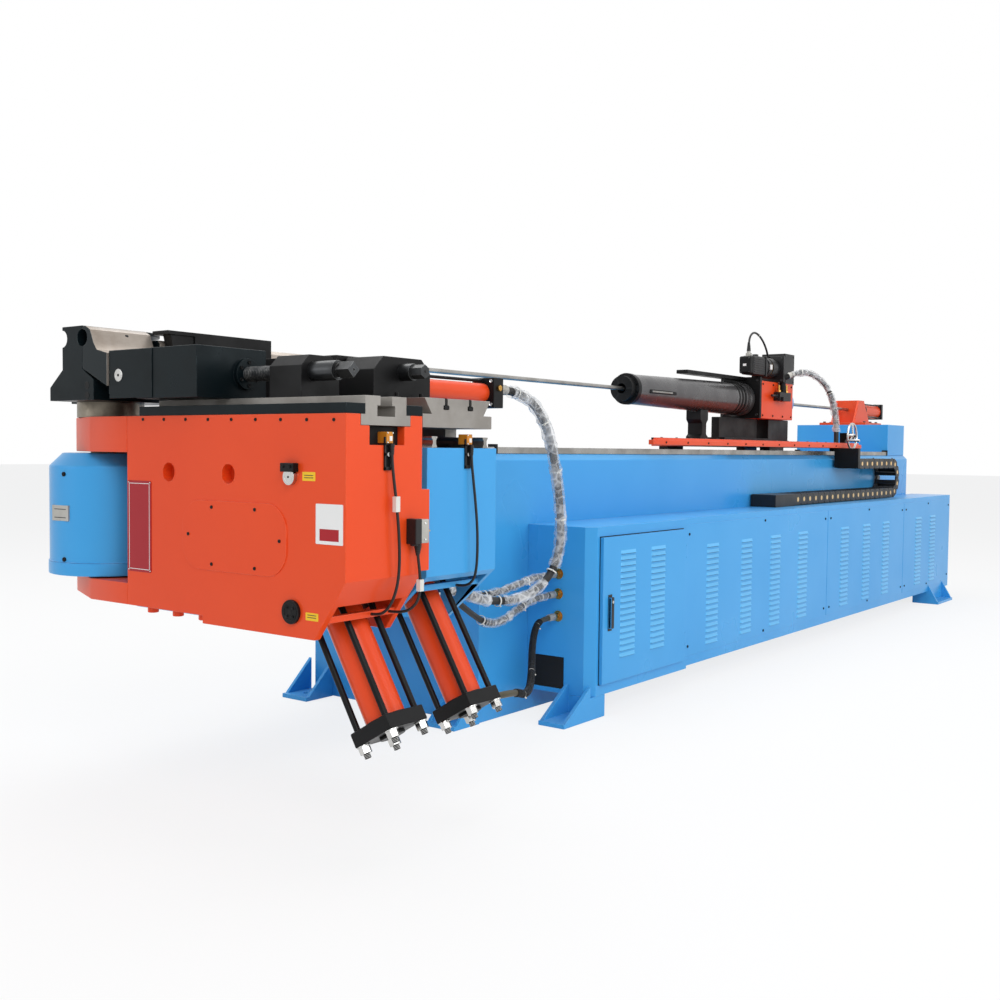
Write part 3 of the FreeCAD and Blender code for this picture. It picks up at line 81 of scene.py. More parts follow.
def mixColour(tree, factor, first, second):
    made = addNode(tree, "ShaderNodeMix", data_type="RGBA")
    for index, value in ((0, factor), (6, first), (7, second)):
        socket = made.inputs[index]
        if isinstance(value, (int, float, tuple)):
            socket.default_value = value
        else:
            tree.links.new(value, socket)
    return made.outputs[2]


def spread(tree, value, low, high, fromLow=0.0, fromHigh=1.0):
    made = addNode(tree, "ShaderNodeMapRange", {
        "From Min": fromLow, "From Max": fromHigh, "To Min": low, "To Max": high})
    tree.links.new(value, made.inputs["Value"])
    return made.outputs["Result"]


def newGroup(name, inputs, outputs):
    group = bpy.data.node_groups.new(name, "ShaderNodeTree")
    for label, kind, value in inputs:
        socket = group.interface.new_socket(label, in_out="INPUT", socket_type=kind)
        if value is not None:
            socket.default_value = value
    for label, kind in outputs:
        group.interface.new_socket(label, in_out="OUTPUT", socket_type=kind)
    return group, group.nodes.new("NodeGroupInput"), group.nodes.new("NodeGroupOutput")


# Broad patches and a fine grain, both from 0 to 1
def makeSkinGroup():
    group, start, end = newGroup("surfaceSkin", [
        ("Vector", "NodeSocketVector", None), ("Patch Scale", "NodeSocketFloat", 1.5),
        ("Grain Scale", "NodeSocketFloat", 260.0)],
        [("Patches", "NodeSocketFloat"), ("Grain", "NodeSocketFloat")])
    broad = addNode(group, "ShaderNodeTexNoise", {"Detail": 4.0, "Roughness": 0.55})
    fine = addNode(group, "ShaderNodeTexNoise", {"Detail": 2.0, "Roughness": 0.5})
    group.links.new(start.outputs["Vector"], broad.inputs["Vector"])
    group.links.new(start.outputs["Patch Scale"], broad.inputs["Scale"])
    group.links.new(start.outputs["Vector"], fine.inputs["Vector"])
    group.links.new(start.outputs["Grain Scale"], fine.inputs["Scale"])
    group.links.new(spread(group, broad.outputs[0], 0.0, 1.0, 0.3, 0.7), end.inputs["Patches"])
    group.links.new(fine.outputs[0], end.inputs["Grain"])
    return group


# Rubbed edges: where the rounded normal turns away from the flat one, broken up by noise
def makeEdgeGroup():
    group, start, end = newGroup("edgeWear", [
        ("Vector", "NodeSocketVector", None), ("Width", "NodeSocketFloat", 0.004),
        ("Amount", "NodeSocketFloat", 0.5)], [("Mask", "NodeSocketFloat")])
    rounded = addNode(group, "ShaderNodeBevel", samples=4)
    group.links.new(start.outputs["Width"], rounded.inputs["Radius"])
    flat = addNode(group, "ShaderNodeNewGeometry")
    turn = addNode(group, "ShaderNodeVectorMath", operation="DOT_PRODUCT")
    group.links.new(rounded.outputs[0], turn.inputs[0])
    group.links.new(flat.outputs["Normal"], turn.inputs[1])
    away = spread(group, turn.outputs["Value"], 1.0, 0.0, 0.86, 0.995)
    breaks = addNode(group, "ShaderNodeTexNoise", {"Scale": 34.0, "Detail": 5.0, "Roughness": 0.65})
    group.links.new(start.outputs["Vector"], breaks.inputs["Vector"])
    spots = spread(group, breaks.outputs[0], 0.0, 1.0, 0.42, 0.6)
    worn = mathNode(group, "MULTIPLY", away, spots)
    worn = mathNode(group, "MULTIPLY", worn, start.outputs["Amount"], clamp=True)
    group.links.new(worn, end.inputs["Mask"])
    return group


# Dust that settles on faces that look up
def makeDustGroup():
    group, start, end = newGroup("settledDust", [
        ("Vector", "NodeSocketVector", None), ("Amount", "NodeSocketFloat", 0.3)],
        [("Mask", "NodeSocketFloat")])
    flat = addNode(group, "ShaderNodeNewGeometry")
    parts = addNode(group, "ShaderNodeSeparateXYZ")
    group.links.new(flat.outputs["Normal"], parts.inputs[0])
    up = spread(group, parts.outputs["Z"], 0.0, 1.0, 0.6, 1.0)
    cloud = addNode(group, "ShaderNodeTexNoise", {"Scale": 3.5, "Detail": 6.0, "Roughness": 0.6})
    group.links.new(start.outputs["Vector"], cloud.inputs["Vector"])
    patch = spread(group, cloud.outputs[0], 0.15, 1.0, 0.35, 0.7)
    dust = mathNode(group, "MULTIPLY", up, patch)
    dust = mathNode(group, "MULTIPLY", dust, start.outputs["Amount"], clamp=True)
    group.links.new(dust, end.inputs["Mask"])
    return group


# Lines left by grinding or turning, long along one axis
def makeGrindGroup():
    group, start, end = newGroup("grindLines", [
        ("Vector", "NodeSocketVector", None), ("Stretch", "NodeSocketVector", (6.0, 400.0, 400.0))],
        [("Lines", "NodeSocketFloat"), ("Smears", "NodeSocketFloat")])
    scaled = addNode(group, "ShaderNodeVectorMath", operation="MULTIPLY")
    group.links.new(start.outputs["Vector"], scaled.inputs[0])
    group.links.new(start.outputs["Stretch"], scaled.inputs[1])
    lines = addNode(group, "ShaderNodeTexNoise", {"Scale": 1.0, "Detail": 3.0, "Roughness": 0.6})
    group.links.new(scaled.outputs[0], lines.inputs["Vector"])
    smears = addNode(group, "ShaderNodeTexNoise", {"Scale": 7.0, "Detail": 5.0, "Roughness": 0.6})
    group.links.new(start.outputs["Vector"], smears.inputs["Vector"])
    group.links.new(lines.outputs[0], end.inputs["Lines"])
    group.links.new(spread(group, smears.outputs[0], 0.0, 1.0, 0.35, 0.65), end.inputs["Smears"])
    return group


skinGroup = makeSkinGroup()
edgeGroup = makeEdgeGroup()
dustGroup = makeDustGroup()
grindGroup = makeGrindGroup()


def placeGroup(tree, group, vector, **inputs):
    made = addNode(tree, "ShaderNodeGroup", node_tree=group)
    tree.links.new(vector, made.inputs["Vector"])
    for label, value in inputs.items():
        made.inputs[label.replace("_", " ")].default_value = value
    return made


def startMaterial(name):
    material = bpy.data.materials.new(name)
    material.use_nodes = True
    tree = material.node_tree
    shader = tree.nodes["Principled BSDF"]
    place = addNode(tree, "ShaderNodeTexCoord").outputs["Object"]
    return material, tree, shader, place


def bumpFrom(tree, shader, height, strength, depth):
    bump = addNode(tree, "ShaderNodeBump", {"Strength": strength, "Distance": depth})
    tree.links.new(height, bump.inputs["Height"])
    tree.links.new(bump.outputs[0], shader.inputs["Normal"])


# Sprayed enamel: slight orange peel, uneven gloss, rubbed edges and a little dust
def enamel(name, colour, deep, worn, roughness=0.3, wear=0.5, dust=0.25, peel=0.12):
    material, tree, shader, place = startMaterial(name)
    skin = placeGroup(tree, skinGroup, place, Patch_Scale=1.3, Grain_Scale=240.0)
    rubbed = placeGroup(tree, edgeGroup, place, Width=0.004, Amount=wear)
    settled = placeGroup(tree, dustGroup, place, Amount=dust)
    base = mixColour(tree, spread(tree, skin.outputs["Patches"], 0.0, 0.55), colour, deep)
    base = mixColour(tree, settled.outputs["Mask"], base, tone(196, 200, 202))
    base = mixColour(tree, rubbed.outputs["Mask"], base, worn)
    tree.links.new(base, shader.inputs["Base Color"])
    rough = spread(tree, skin.outputs["Patches"], roughness - 0.05, roughness + 0.08)
    rough = mathNode(tree, "ADD", rough, mathNode(tree, "MULTIPLY", settled.outputs["Mask"], 0.4))
    tree.links.new(rough, shader.inputs["Roughness"])
    shader.inputs["Specular IOR Level"].default_value = 0.25
    shader.inputs["Coat Weight"].default_value = 0.06
    shader.inputs["Coat Roughness"].default_value = 0.12
    bumpFrom(tree, shader, skin.outputs["Grain"], peel, 0.0006)
    return material


# Machined metal: grinding lines, oil smears and bright corners
def metal(name, colour, dark, roughness=0.35, metallic=0.9, stretch=(6.0, 400.0, 400.0), wear=0.6,
          bright=None, depth=0.15, dust=0.1, specular=0.5):
    material, tree, shader, place = startMaterial(name)
    grind = placeGroup(tree, grindGroup, place, Stretch=stretch)
    rubbed = placeGroup(tree, edgeGroup, place, Width=0.003, Amount=wear)
    settled = placeGroup(tree, dustGroup, place, Amount=dust)
    base = mixColour(tree, spread(tree, grind.outputs["Smears"], 0.0, 0.7), colour, dark)
    base = mixColour(tree, spread(tree, grind.outputs["Lines"], 0.0, 0.25), base, dark)
    base = mixColour(tree, settled.outputs["Mask"], base, tone(170, 168, 162))
    base = mixColour(tree, rubbed.outputs["Mask"], base, bright or tone(170, 170, 168))
    tree.links.new(base, shader.inputs["Base Color"])
    rough = spread(tree, grind.outputs["Smears"], roughness - 0.07, roughness + 0.1)
    tree.links.new(rough, shader.inputs["Roughness"])
    shader.inputs["Metallic"].default_value = metallic
    shader.inputs["Specular IOR Level"].default_value = specular
    bumpFrom(tree, shader, grind.outputs["Lines"], depth, 0.0003)
    return material


# Plastic, rubber and bare labels
def moulded(name, colour, deep, roughness=0.55, grain=420.0, bump=0.2, patch=6.0):
    material, tree, shader, place = startMaterial(name)
    skin = placeGroup(tree, skinGroup, place, Patch_Scale=patch, Grain_Scale=grain)
    settled = placeGroup(tree, dustGroup, place, Amount=0.2)
    base = mixColour(tree, spread(tree, skin.outputs["Patches"], 0.0, 0.6), colour, deep)
    base = mixColour(tree, settled.outputs["Mask"], base, tone(150, 148, 142))
    tree.links.new(base, shader.inputs["Base Color"])
    rough = spread(tree, skin.outputs["Patches"], roughness - 0.06, roughness + 0.08)
    tree.links.new(rough, shader.inputs["Roughness"])
    shader.inputs["Specular IOR Level"].default_value = 0.35
    bumpFrom(tree, shader, skin.outputs["Grain"], bump, 0.0003)
    return material


# Tool steel that is dark on its ends and ground bright along the tube
def dieMaterial():
    material, tree, shader, place = startMaterial("groundDieSteel")
    grind = placeGroup(tree, grindGroup, place, Stretch=(5.0, 300.0, 300.0))
    rubbed = placeGroup(tree, edgeGroup, place, Width=0.003, Amount=0.5)
    flat = addNode(tree, "ShaderNodeNewGeometry")
    parts = addNode(tree, "ShaderNodeSeparateXYZ")
    tree.links.new(flat.outputs["Normal"], parts.inputs[0])
    ends = mathNode(tree, "ABSOLUTE", parts.outputs["X"])
    ends = spread(tree, ends, 0.0, 1.0, 0.55, 0.8)
    smears = spread(tree, grind.outputs["Smears"], 0.0, 0.8)
    lines = spread(tree, grind.outputs["Lines"], 0.0, 0.3)
    bright = mixColour(tree, smears, tone(178, 168, 158), tone(136, 124, 112))
    bright = mixColour(tree, lines, bright, tone(96, 88, 80))
    base = mixColour(tree, ends, bright, tone(14, 25, 29))
    base = mixColour(tree, rubbed.outputs["Mask"], base, tone(150, 156, 158))
    tree.links.new(base, shader.inputs["Base Color"])
    tree.links.new(spread(tree, grind.outputs["Smears"], 0.28, 0.42), shader.inputs["Roughness"])
    shader.inputs["Metallic"].default_value = 0.45
    shader.inputs["Specular IOR Level"].default_value = 0.25
    bumpFrom(tree, shader, grind.outputs["Lines"], 0.15, 0.0003)
    return material


# Clear packing film, milky along its creases
def filmMaterial():
    material, tree, shader, place = startMaterial("clearFilm")
    creases = addNode(tree, "ShaderNodeTexVoronoi", {"Scale": 26.0}, feature="DISTANCE_TO_EDGE")
    tree.links.new(place, creases.inputs["Vector"])
    milk = addNode(tree, "ShaderNodeTexNoise", {"Scale": 16.0, "Detail": 3.0})
    tree.links.new(place, milk.inputs["Vector"])
    edges = spread(tree, creases.outputs["Distance"], 1.0, 0.0, 0.0, 0.16)
    cover = mathNode(tree, "MULTIPLY", edges, 0.45)
    cloudy = spread(tree, milk.outputs[0], 0.0, 0.55, 0.45, 0.65)
    cover = mathNode(tree, "ADD", cover, cloudy, clamp=True)
    tree.links.new(spread(tree, cover, 0.2, 0.72), shader.inputs["Alpha"])
    film = mixColour(tree, cover, tone(214, 216, 218), tone(244, 245, 246))
    tree.links.new(film, shader.inputs["Base Color"])
    shader.inputs["Roughness"].default_value = 0.14
    shader.inputs["Specular IOR Level"].default_value = 0.7
    bumpFrom(tree, shader, creases.outputs["Distance"], 0.45, 0.003)
    return material


bluePaint = enamel(
    "bluePaint", tone(66, 162, 224), tone(56, 150, 214), tone(130, 198, 238), roughness=0.3,
    wear=0.35, dust=0.15)
orangePaint = enamel(
    "orangePaint", tone(232, 76, 28), tone(220, 66, 22), tone(244, 136, 96), roughness=0.32,
    wear=0.35, dust=0.1)
# Painted shadow: a darker copy of the blue paint for the strip under each louvre hood
louvreShade = enamel(
    "louvreShade", tone(32, 96, 156), tone(24, 82, 138), tone(60, 120, 180), roughness=0.5,
    wear=0.1, dust=0.0)
# Painted highlight: the louvre hoods take a lighter blue than the panel, and a still lighter edge
# colour, for the light they catch from above
louvreHighlightPaint = enamel(
    "louvreHighlightPaint", tone(98, 188, 240), tone(84, 174, 232), tone(150, 208, 242), roughness=0.3,
    wear=0.3, dust=0.1)
redEnamel = enamel(
    "redEnamel", tone(172, 24, 36), tone(150, 18, 30), tone(200, 90, 90), roughness=0.3, wear=0.2,
    dust=0.0, peel=0.04)
whiteEnamel = enamel(
    "whiteEnamel", tone(236, 236, 234), tone(222, 222, 220), tone(200, 200, 198), roughness=0.35,
    wear=0.2, dust=0.0, peel=0.03)
yellowTag = enamel(
    "yellowTag", tone(240, 196, 40), tone(228, 180, 30), tone(240, 220, 140), roughness=0.4,
    wear=0.1, dust=0.0, peel=0.03)
blackSteel = metal(
    "blackSteel", tone(28, 28, 29), tone(17, 18, 18), roughness=0.4, metallic=0.2,
    stretch=(60.0, 60.0, 300.0), wear=0.35, bright=tone(84, 86, 88), depth=0.1, dust=0.02,
    specular=0.14)
tealSteel = metal(
    "tealSteel", tone(15, 26, 30), tone(10, 17, 20), roughness=0.34, metallic=0.2,
    stretch=(40.0, 40.0, 320.0), wear=0.4, bright=tone(86, 98, 102), depth=0.08, dust=0.01,
    specular=0.12)
chuckSteel = metal(
    "chuckSteel", tone(98, 97, 98), tone(82, 81, 82), roughness=0.27, metallic=0.7,
    stretch=(10.0, 300.0, 300.0), wear=0.5, bright=tone(170, 170, 170), depth=0.1, dust=0.03,
    specular=0.4)
oiledSteel = metal(
    "oiledSteel", tone(74, 76, 78), tone(40, 41, 42), roughness=0.34, metallic=0.8,
    stretch=(400.0, 8.0, 400.0), wear=0.6, bright=tone(150, 150, 148), depth=0.12)
groundSteel = metal(
    "groundSteel", tone(150, 146, 140), tone(126, 121, 115), roughness=0.46, metallic=0.35,
    stretch=(300.0, 7.0, 300.0), wear=0.4, bright=tone(196, 194, 190), depth=0.1)
railSteel = metal(
    "railSteel", tone(176, 174, 170), tone(120, 117, 112), roughness=0.3, metallic=0.9,
    stretch=(4.0, 300.0, 300.0), wear=0.5, bright=tone(220, 220, 218), depth=0.1)
polishedSteel = metal(
    "polishedSteel", tone(214, 214, 212), tone(170, 170, 168), roughness=0.2, metallic=1.0,
    stretch=(80.0, 80.0, 80.0), wear=0.3, bright=tone(240, 240, 240), depth=0.04, dust=0.0)
castSpindle = metal(
    "castSpindle", tone(150, 142, 128), tone(84, 76, 66), roughness=0.4, metallic=0.85,
    stretch=(40.0, 40.0, 240.0), wear=0.5, bright=tone(190, 184, 172), depth=0.2)
brassMetal = metal(
    "brassMetal", tone(206, 162, 86), tone(150, 108, 50), roughness=0.26, metallic=1.0,
    stretch=(200.0, 200.0, 200.0), wear=0.3, bright=tone(240, 208, 140), depth=0.06, dust=0.0)
greyAlloy = metal(
    "greyAlloy", tone(186, 184, 178), tone(150, 148, 142), roughness=0.42, metallic=0.6,
    stretch=(120.0, 120.0, 120.0), wear=0.3, bright=tone(220, 220, 216), depth=0.1, dust=0.0)
blackPlastic = moulded(
    "blackPlastic", tone(27, 27, 29), tone(18, 18, 19), roughness=0.42, grain=420.0, bump=0.15)
blackRubber = moulded(
    "blackRubber", tone(34, 34, 35), tone(22, 22, 22), roughness=0.5, grain=300.0, bump=0.25)
oliveHose = moulded(
    "oliveHose", tone(72, 66, 44), tone(44, 40, 28), roughness=0.4, grain=260.0, bump=0.3)
bronzePlastic = moulded(
    "bronzePlastic", tone(206, 134, 36), tone(180, 108, 24), roughness=0.38, grain=300.0, bump=0.1)
paleDot = moulded(
    "paleDot", tone(238, 200, 140), tone(222, 178, 112), roughness=0.45, grain=300.0, bump=0.1)
whiteNylon = moulded(
    "whiteNylon", tone(226, 224, 216), tone(208, 206, 198), roughness=0.4, grain=300.0, bump=0.1)
darkGap = moulded("darkGap", tone(9, 10, 11), tone(5, 5, 6), roughness=0.7, grain=300.0, bump=0.05)
dieSteel = dieMaterial()
clearFilm = filmMaterial()
print("materials ready")


# Shapes are in mm from the bending axis at floor level, and join a target with a finish
def addShape(target, shape, finish=0, place=None):
    for face in shape.faces:
        face.material_index = finish
    if place is not None:
        bmesh.ops.transform(shape, matrix=place, verts=shape.verts[:])
    carrier = bpy.data.meshes.new("carrier")
    shape.to_mesh(carrier)
    shape.free()
    target.from_mesh(carrier)
    bpy.data.meshes.remove(carrier)


def soften(shape, parts, offset, steps=2, affect="EDGES", clamp=True):
    bmesh.ops.bevel(
        shape, geom=parts, offset=offset, offset_type="OFFSET", segments=steps, profile=0.5,
        affect=affect, material=-1, clamp_overlap=clamp)


def sharpEdges(shape, angle):
    return [e for e in shape.edges if len(e.link_faces) == 2 and e.calc_face_angle() > angle]


def moveBy(shape, step, verts=None):
    bmesh.ops.translate(shape, vec=Vector(step), verts=verts or shape.verts[:])


def turnBy(shape, turn, verts=None):
    bmesh.ops.rotate(shape, cent=(0, 0, 0), matrix=turn, verts=verts or shape.verts[:])


# Turns a shape made along z onto an axis, and puts its origin in place
def standOn(shape, axis, origin):
    turnBy(shape, Vector((0, 0, 1)).rotation_difference(Vector(axis).normalized()).to_matrix())
    moveBy(shape, origin)


def spinRound(shape, geom, sides, merge):
    bmesh.ops.spin(
        shape, geom=geom, cent=(0, 0, 0), axis=(0, 0, 1), angle=2 * math.pi, steps=sides,
        use_merge=True)
    bmesh.ops.remove_doubles(shape, verts=shape.verts[:], dist=merge)


def addBox(target, finish, low, high, edge=1.5, steps=2, place=None):
    low, high = Vector(low), Vector(high)
    shape = bmesh.new()
    bmesh.ops.create_cube(shape, size=1.0)
    bmesh.ops.scale(shape, vec=high - low, verts=shape.verts[:])
    moveBy(shape, (low + high) / 2)
    if edge:
        soften(shape, shape.edges[:], edge, steps)
    addShape(target, shape, finish, place)


# A rod, a taper when the second radius differs, or a hexagon with six sides
def addRod(target, finish, start, end, radius, sides=24, endRadius=None, edge=0.0, place=None):
    start, end = Vector(start), Vector(end)
    shape = bmesh.new()
    bmesh.ops.create_cone(
        shape, cap_ends=True, cap_tris=False, segments=sides, radius1=radius,
        radius2=radius if endRadius is None else endRadius, depth=(end - start).length)
    if edge:
        caps = [face for face in shape.faces if abs(face.normal.z) > 0.99]
        soften(shape, [rim for face in caps for rim in face.edges], edge)
    standOn(shape, end - start, (start + end) / 2)
    addShape(target, shape, finish, place)


# A ring with a square section, spun about its axis
def addRing(target, finish, centre, axis, inner, outer, height, sides=40, edge=0.8, place=None):
    shape = bmesh.new()
    half = height / 2
    verts = [
        shape.verts.new((x, 0, z))
        for x, z in ((inner, -half), (outer, -half), (outer, half), (inner, half))]
    edges = [shape.edges.new((verts[i], verts[(i + 1) % 4])) for i in range(4)]
    spinRound(shape, verts + edges, sides, 0.01)
    if edge:
        soften(shape, sharpEdges(shape, 1.0), edge)
    standOn(shape, axis, centre)
    addShape(target, shape, finish, place)


# A ring with a round section
def addHoop(target, finish, centre, axis, radius, thickness, sides=16, around=8, place=None):
    shape = bmesh.new()
    bmesh.ops.create_circle(shape, segments=around, radius=thickness)
    turnBy(shape, Matrix.Rotation(math.pi / 2, 3, "X"))
    moveBy(shape, (radius, 0, 0))
    spinRound(shape, shape.verts[:] + shape.edges[:], sides, 0.005)
    standOn(shape, axis, centre)
    addShape(target, shape, finish, place)


# A flat plate drawn in the plane across x or y, with rounded corners
def addPlate(target, finish, outline, axis, low, high, corner=0.0, edge=1.0, steps=8, place=None):
    shape = bmesh.new()
    shape.faces.new([shape.verts.new((a, b, 0)) for a, b in outline])
    if corner:
        soften(shape, shape.verts[:], corner, steps, "VERTICES")
    made = bmesh.ops.extrude_face_region(shape, geom=shape.faces[:])
    lifted = [part for part in made["geom"] if isinstance(part, bmesh.types.BMVert)]
    moveBy(shape, (0, 0, high - low), lifted)
    moveBy(shape, (0, 0, low))
    if edge:
        soften(shape, sharpEdges(shape, 1.2), edge)
    turnBy(shape, {
        "x": Matrix(((0, 0, 1), (1, 0, 0), (0, 1, 0))),
        "y": Matrix(((1, 0, 0), (0, 0, 1), (0, 1, 0))),
    }[axis])
    addShape(target, shape, finish, place)


# Corners of an upright rectangle
def corners(y0, y1, z0, z1):
    return [(y0, z0), (y1, z0), (y1, z1), (y0, z1)]


# Four strips along the inside of a rectangle, each as its own rectangle
def strips(y0, y1, z0, z1, wide):
    return (
        (y0, y1, z0, z0 + wide), (y0, y1, z1 - wide, z1), (y0, y0 + wide, z0, z1),
        (y1 - wide, y1, z0, z1))


# Points round a circle, as pairs beside a middle
def roundTheClock(count, firstDegrees, middle, radius):
    for turn in range(count):
        a = math.radians(firstDegrees + 360 / count * turn)
        yield middle[0] + radius * math.cos(a), middle[1] + radius * math.sin(a)


# Socket-head bolt: its top face is inset and sunk
def addBolt(target, finish, foot, axis, radius, height, sides=16, place=None):
    def topFace():
        return max(shape.faces, key=lambda face: face.calc_center_median().z)

    shape = bmesh.new()
    bmesh.ops.create_cone(
        shape, cap_ends=True, cap_tris=False, segments=sides, radius1=radius, radius2=radius,
        depth=height)
    soften(shape, list(topFace().edges), radius * 0.14)
    top = topFace()
    bmesh.ops.inset_individual(shape, faces=[top], thickness=radius * 0.38, depth=0.0)
    moveBy(shape, (0, 0, -0.55 * height), list(top.verts))
    moveBy(shape, (0, 0, height / 2))
    standOn(shape, axis, foot)
    addShape(target, shape, finish, place)


def finishPiece(target, name, materials, body, replaced=(), smoothAngle=42):
    bmesh.ops.scale(target, vec=(metre, metre, metre), verts=target.verts[:])
    moveBy(target, (-bedMiddle * metre, 0, 0))
    bmesh.ops.recalc_face_normals(target, faces=target.faces[:])
    for face in target.faces:
        face.smooth = True
    for edge in target.edges:
        if len(edge.link_faces) == 2:
            edge.smooth = edge.calc_face_angle() < math.radians(smoothAngle)
    mesh = bpy.data.meshes.new(name)
    target.to_mesh(mesh)
    target.free()
    piece = bpy.data.objects.new(name, mesh)
    bpy.context.collection.objects.link(piece)
    for material in materials:
        mesh.materials.append(material)
    weigh = piece.modifiers.new("weighNormals", "WEIGHTED_NORMAL")
    weigh.keep_sharp = True
    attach(piece, body)
    if replaced:
        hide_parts(*replaced)
    return piece


# A CAD node's shape with its corners rounded off
def roundedNode(node, edge):
    shape = bmesh.new()
    shape.from_mesh(frame["nodes"][node].data)
    bmesh.ops.scale(shape, vec=(1 / metre, 1 / metre, 1 / metre), verts=shape.verts[:])
    moveBy(shape, (bedMiddle, 0, 0))
    bmesh.ops.remove_doubles(shape, verts=shape.verts[:], dist=0.03)
    bmesh.ops.dissolve_limit(
        shape, angle_limit=math.radians(0.8), use_dissolve_boundaries=False, verts=shape.verts[:],
        edges=shape.edges[:])
    soften(shape, sharpEdges(shape, math.radians(35)), edge, clamp=False)
    return shape


nodeBody = {
    node: body for body, nodes in frame["record"]["behaviour"]["bodies"].items() for node in nodes}


def dressNode(node, material, edge=2.0, extra=None, name=None, more=()):
    target = bmesh.new()
    addShape(target, roundedNode(node, edge))
    if extra:
        extra(target)
    finishPiece(
        target, name or node + "Dressed", [material, *more], nodeBody[node], [node])


def paintNode(node, material):
    holder = frame["nodes"][node]
    for slotShadow in holder.material_slots:
        slotShadow.material = material


# Camera, floor and lights
view = {
    "place": (-6.814, -3.452, 1.2),
    "right": (0.60064, -0.79943, 0.01047),
    "up": (0.02933, 0.03512, 0.99893),
    "ahead": (0.79898, 0.59970, -0.04454),
    "lens": 41.18,
}


def makeCamera():
    data = bpy.data.cameras.new("photoView")
    data.lens = view["lens"]
    data.sensor_width = 36.0
    data.clip_end = 200.0
    camera = bpy.data.objects.new("photoView", data)
    bpy.context.collection.objects.link(camera)
    right, up, ahead = (Vector(view[key]) for key in ("right", "up", "ahead"))
    turn = Matrix((right, up, -ahead)).transposed().to_4x4()
    camera.matrix_world = Matrix.Translation(view["place"]) @ turn
    bpy.context.scene.camera = camera


lamps = {
    "keyLight": ((-9.5, -8.5, 7.5), (-2.5, 0.0, 0.8), 7.0, 560.0),
    "fillLight": ((2.0, -11.0, 5.0), (-0.5, 0.0, 0.8), 8.0, 400.0),
    "topLight": ((-1.0, 1.5, 8.0), (-1.0, 0.0, 0.5), 8.0, 420.0),
    "endLight": ((-11.0, 3.5, 3.5), (-4.0, 0.0, 1.0), 4.0, 90.0),
}


def makeLamps():
    for name, (place, target, size, power) in lamps.items():
        data = bpy.data.lights.new(name, "AREA")
        data.shape = "DISK"
        data.size = size
        data.energy = power
        lamp = bpy.data.objects.new(name, data)
        bpy.context.collection.objects.link(lamp)
        lamp.location = place
        lamp.rotation_euler = (Vector(target) - Vector(place)).to_track_quat("-Z", "Y").to_euler()


# One where the camera looks directly, in a mirror or through glass
def seenRays(tree):
    rays = addNode(tree, "ShaderNodeLightPath")
    seen = mathNode(tree, "MAXIMUM", rays.outputs["Is Camera Ray"], rays.outputs["Is Glossy Ray"])
    return mathNode(tree, "MAXIMUM", seen, rays.outputs["Is Transmission Ray"])


def makeWorld():
    world = bpy.data.worlds.new("studioWorld")
    bpy.context.scene.world = world
    world.use_nodes = True
    tree = world.node_tree
    tree.nodes.clear()
    seen = seenRays(tree)
    plain = addNode(tree, "ShaderNodeBackground", {"Color": (1, 1, 1, 1), "Strength": 1.0})
    soft = addNode(tree, "ShaderNodeBackground", {"Color": (0.93, 0.96, 1.0, 1), "Strength": 0.42})
    both = addNode(tree, "ShaderNodeMixShader")
    tree.links.new(seen, both.inputs[0])
    tree.links.new(soft.outputs[0], both.inputs[1])
    tree.links.new(plain.outputs[0], both.inputs[2])
    out = addNode(tree, "ShaderNodeOutputWorld")
    tree.links.new(both.outputs[0], out.inputs[0])


def makeFloor():
    material, tree, shader, _ = startMaterial("paleFloor")
    shader.inputs["Base Color"].default_value = (0.86, 0.86, 0.86, 1)
    shader.inputs["Roughness"].default_value = 0.9
    glow = addNode(tree, "ShaderNodeEmission", {"Color": (1, 1, 1, 1), "Strength": 1.0})
    seen = seenRays(tree)
    both = addNode(tree, "ShaderNodeMixShader")
    tree.links.new(mathNode(tree, "MULTIPLY", seen, 0.8), both.inputs[0])
    tree.links.new(shader.outputs[0], both.inputs[1])
    tree.links.new(glow.outputs[0], both.inputs[2])
    tree.links.new(both.outputs[0], tree.nodes["Material Output"].inputs["Surface"])
    shape = bmesh.new()
    bmesh.ops.create_grid(shape, x_segments=1, y_segments=1, size=60.0)
    mesh = bpy.data.meshes.new("studioFloor")
    shape.to_mesh(mesh)
    shape.free()
    floor = bpy.data.objects.new("studioFloor", mesh)
    mesh.materials.append(material)
    bpy.context.collection.objects.link(floor)


makeCamera()
makeLamps()
makeWorld()
makeFloor()
bpy.context.scene.view_settings.view_transform = "Standard"
print("camera, floor and lights ready")


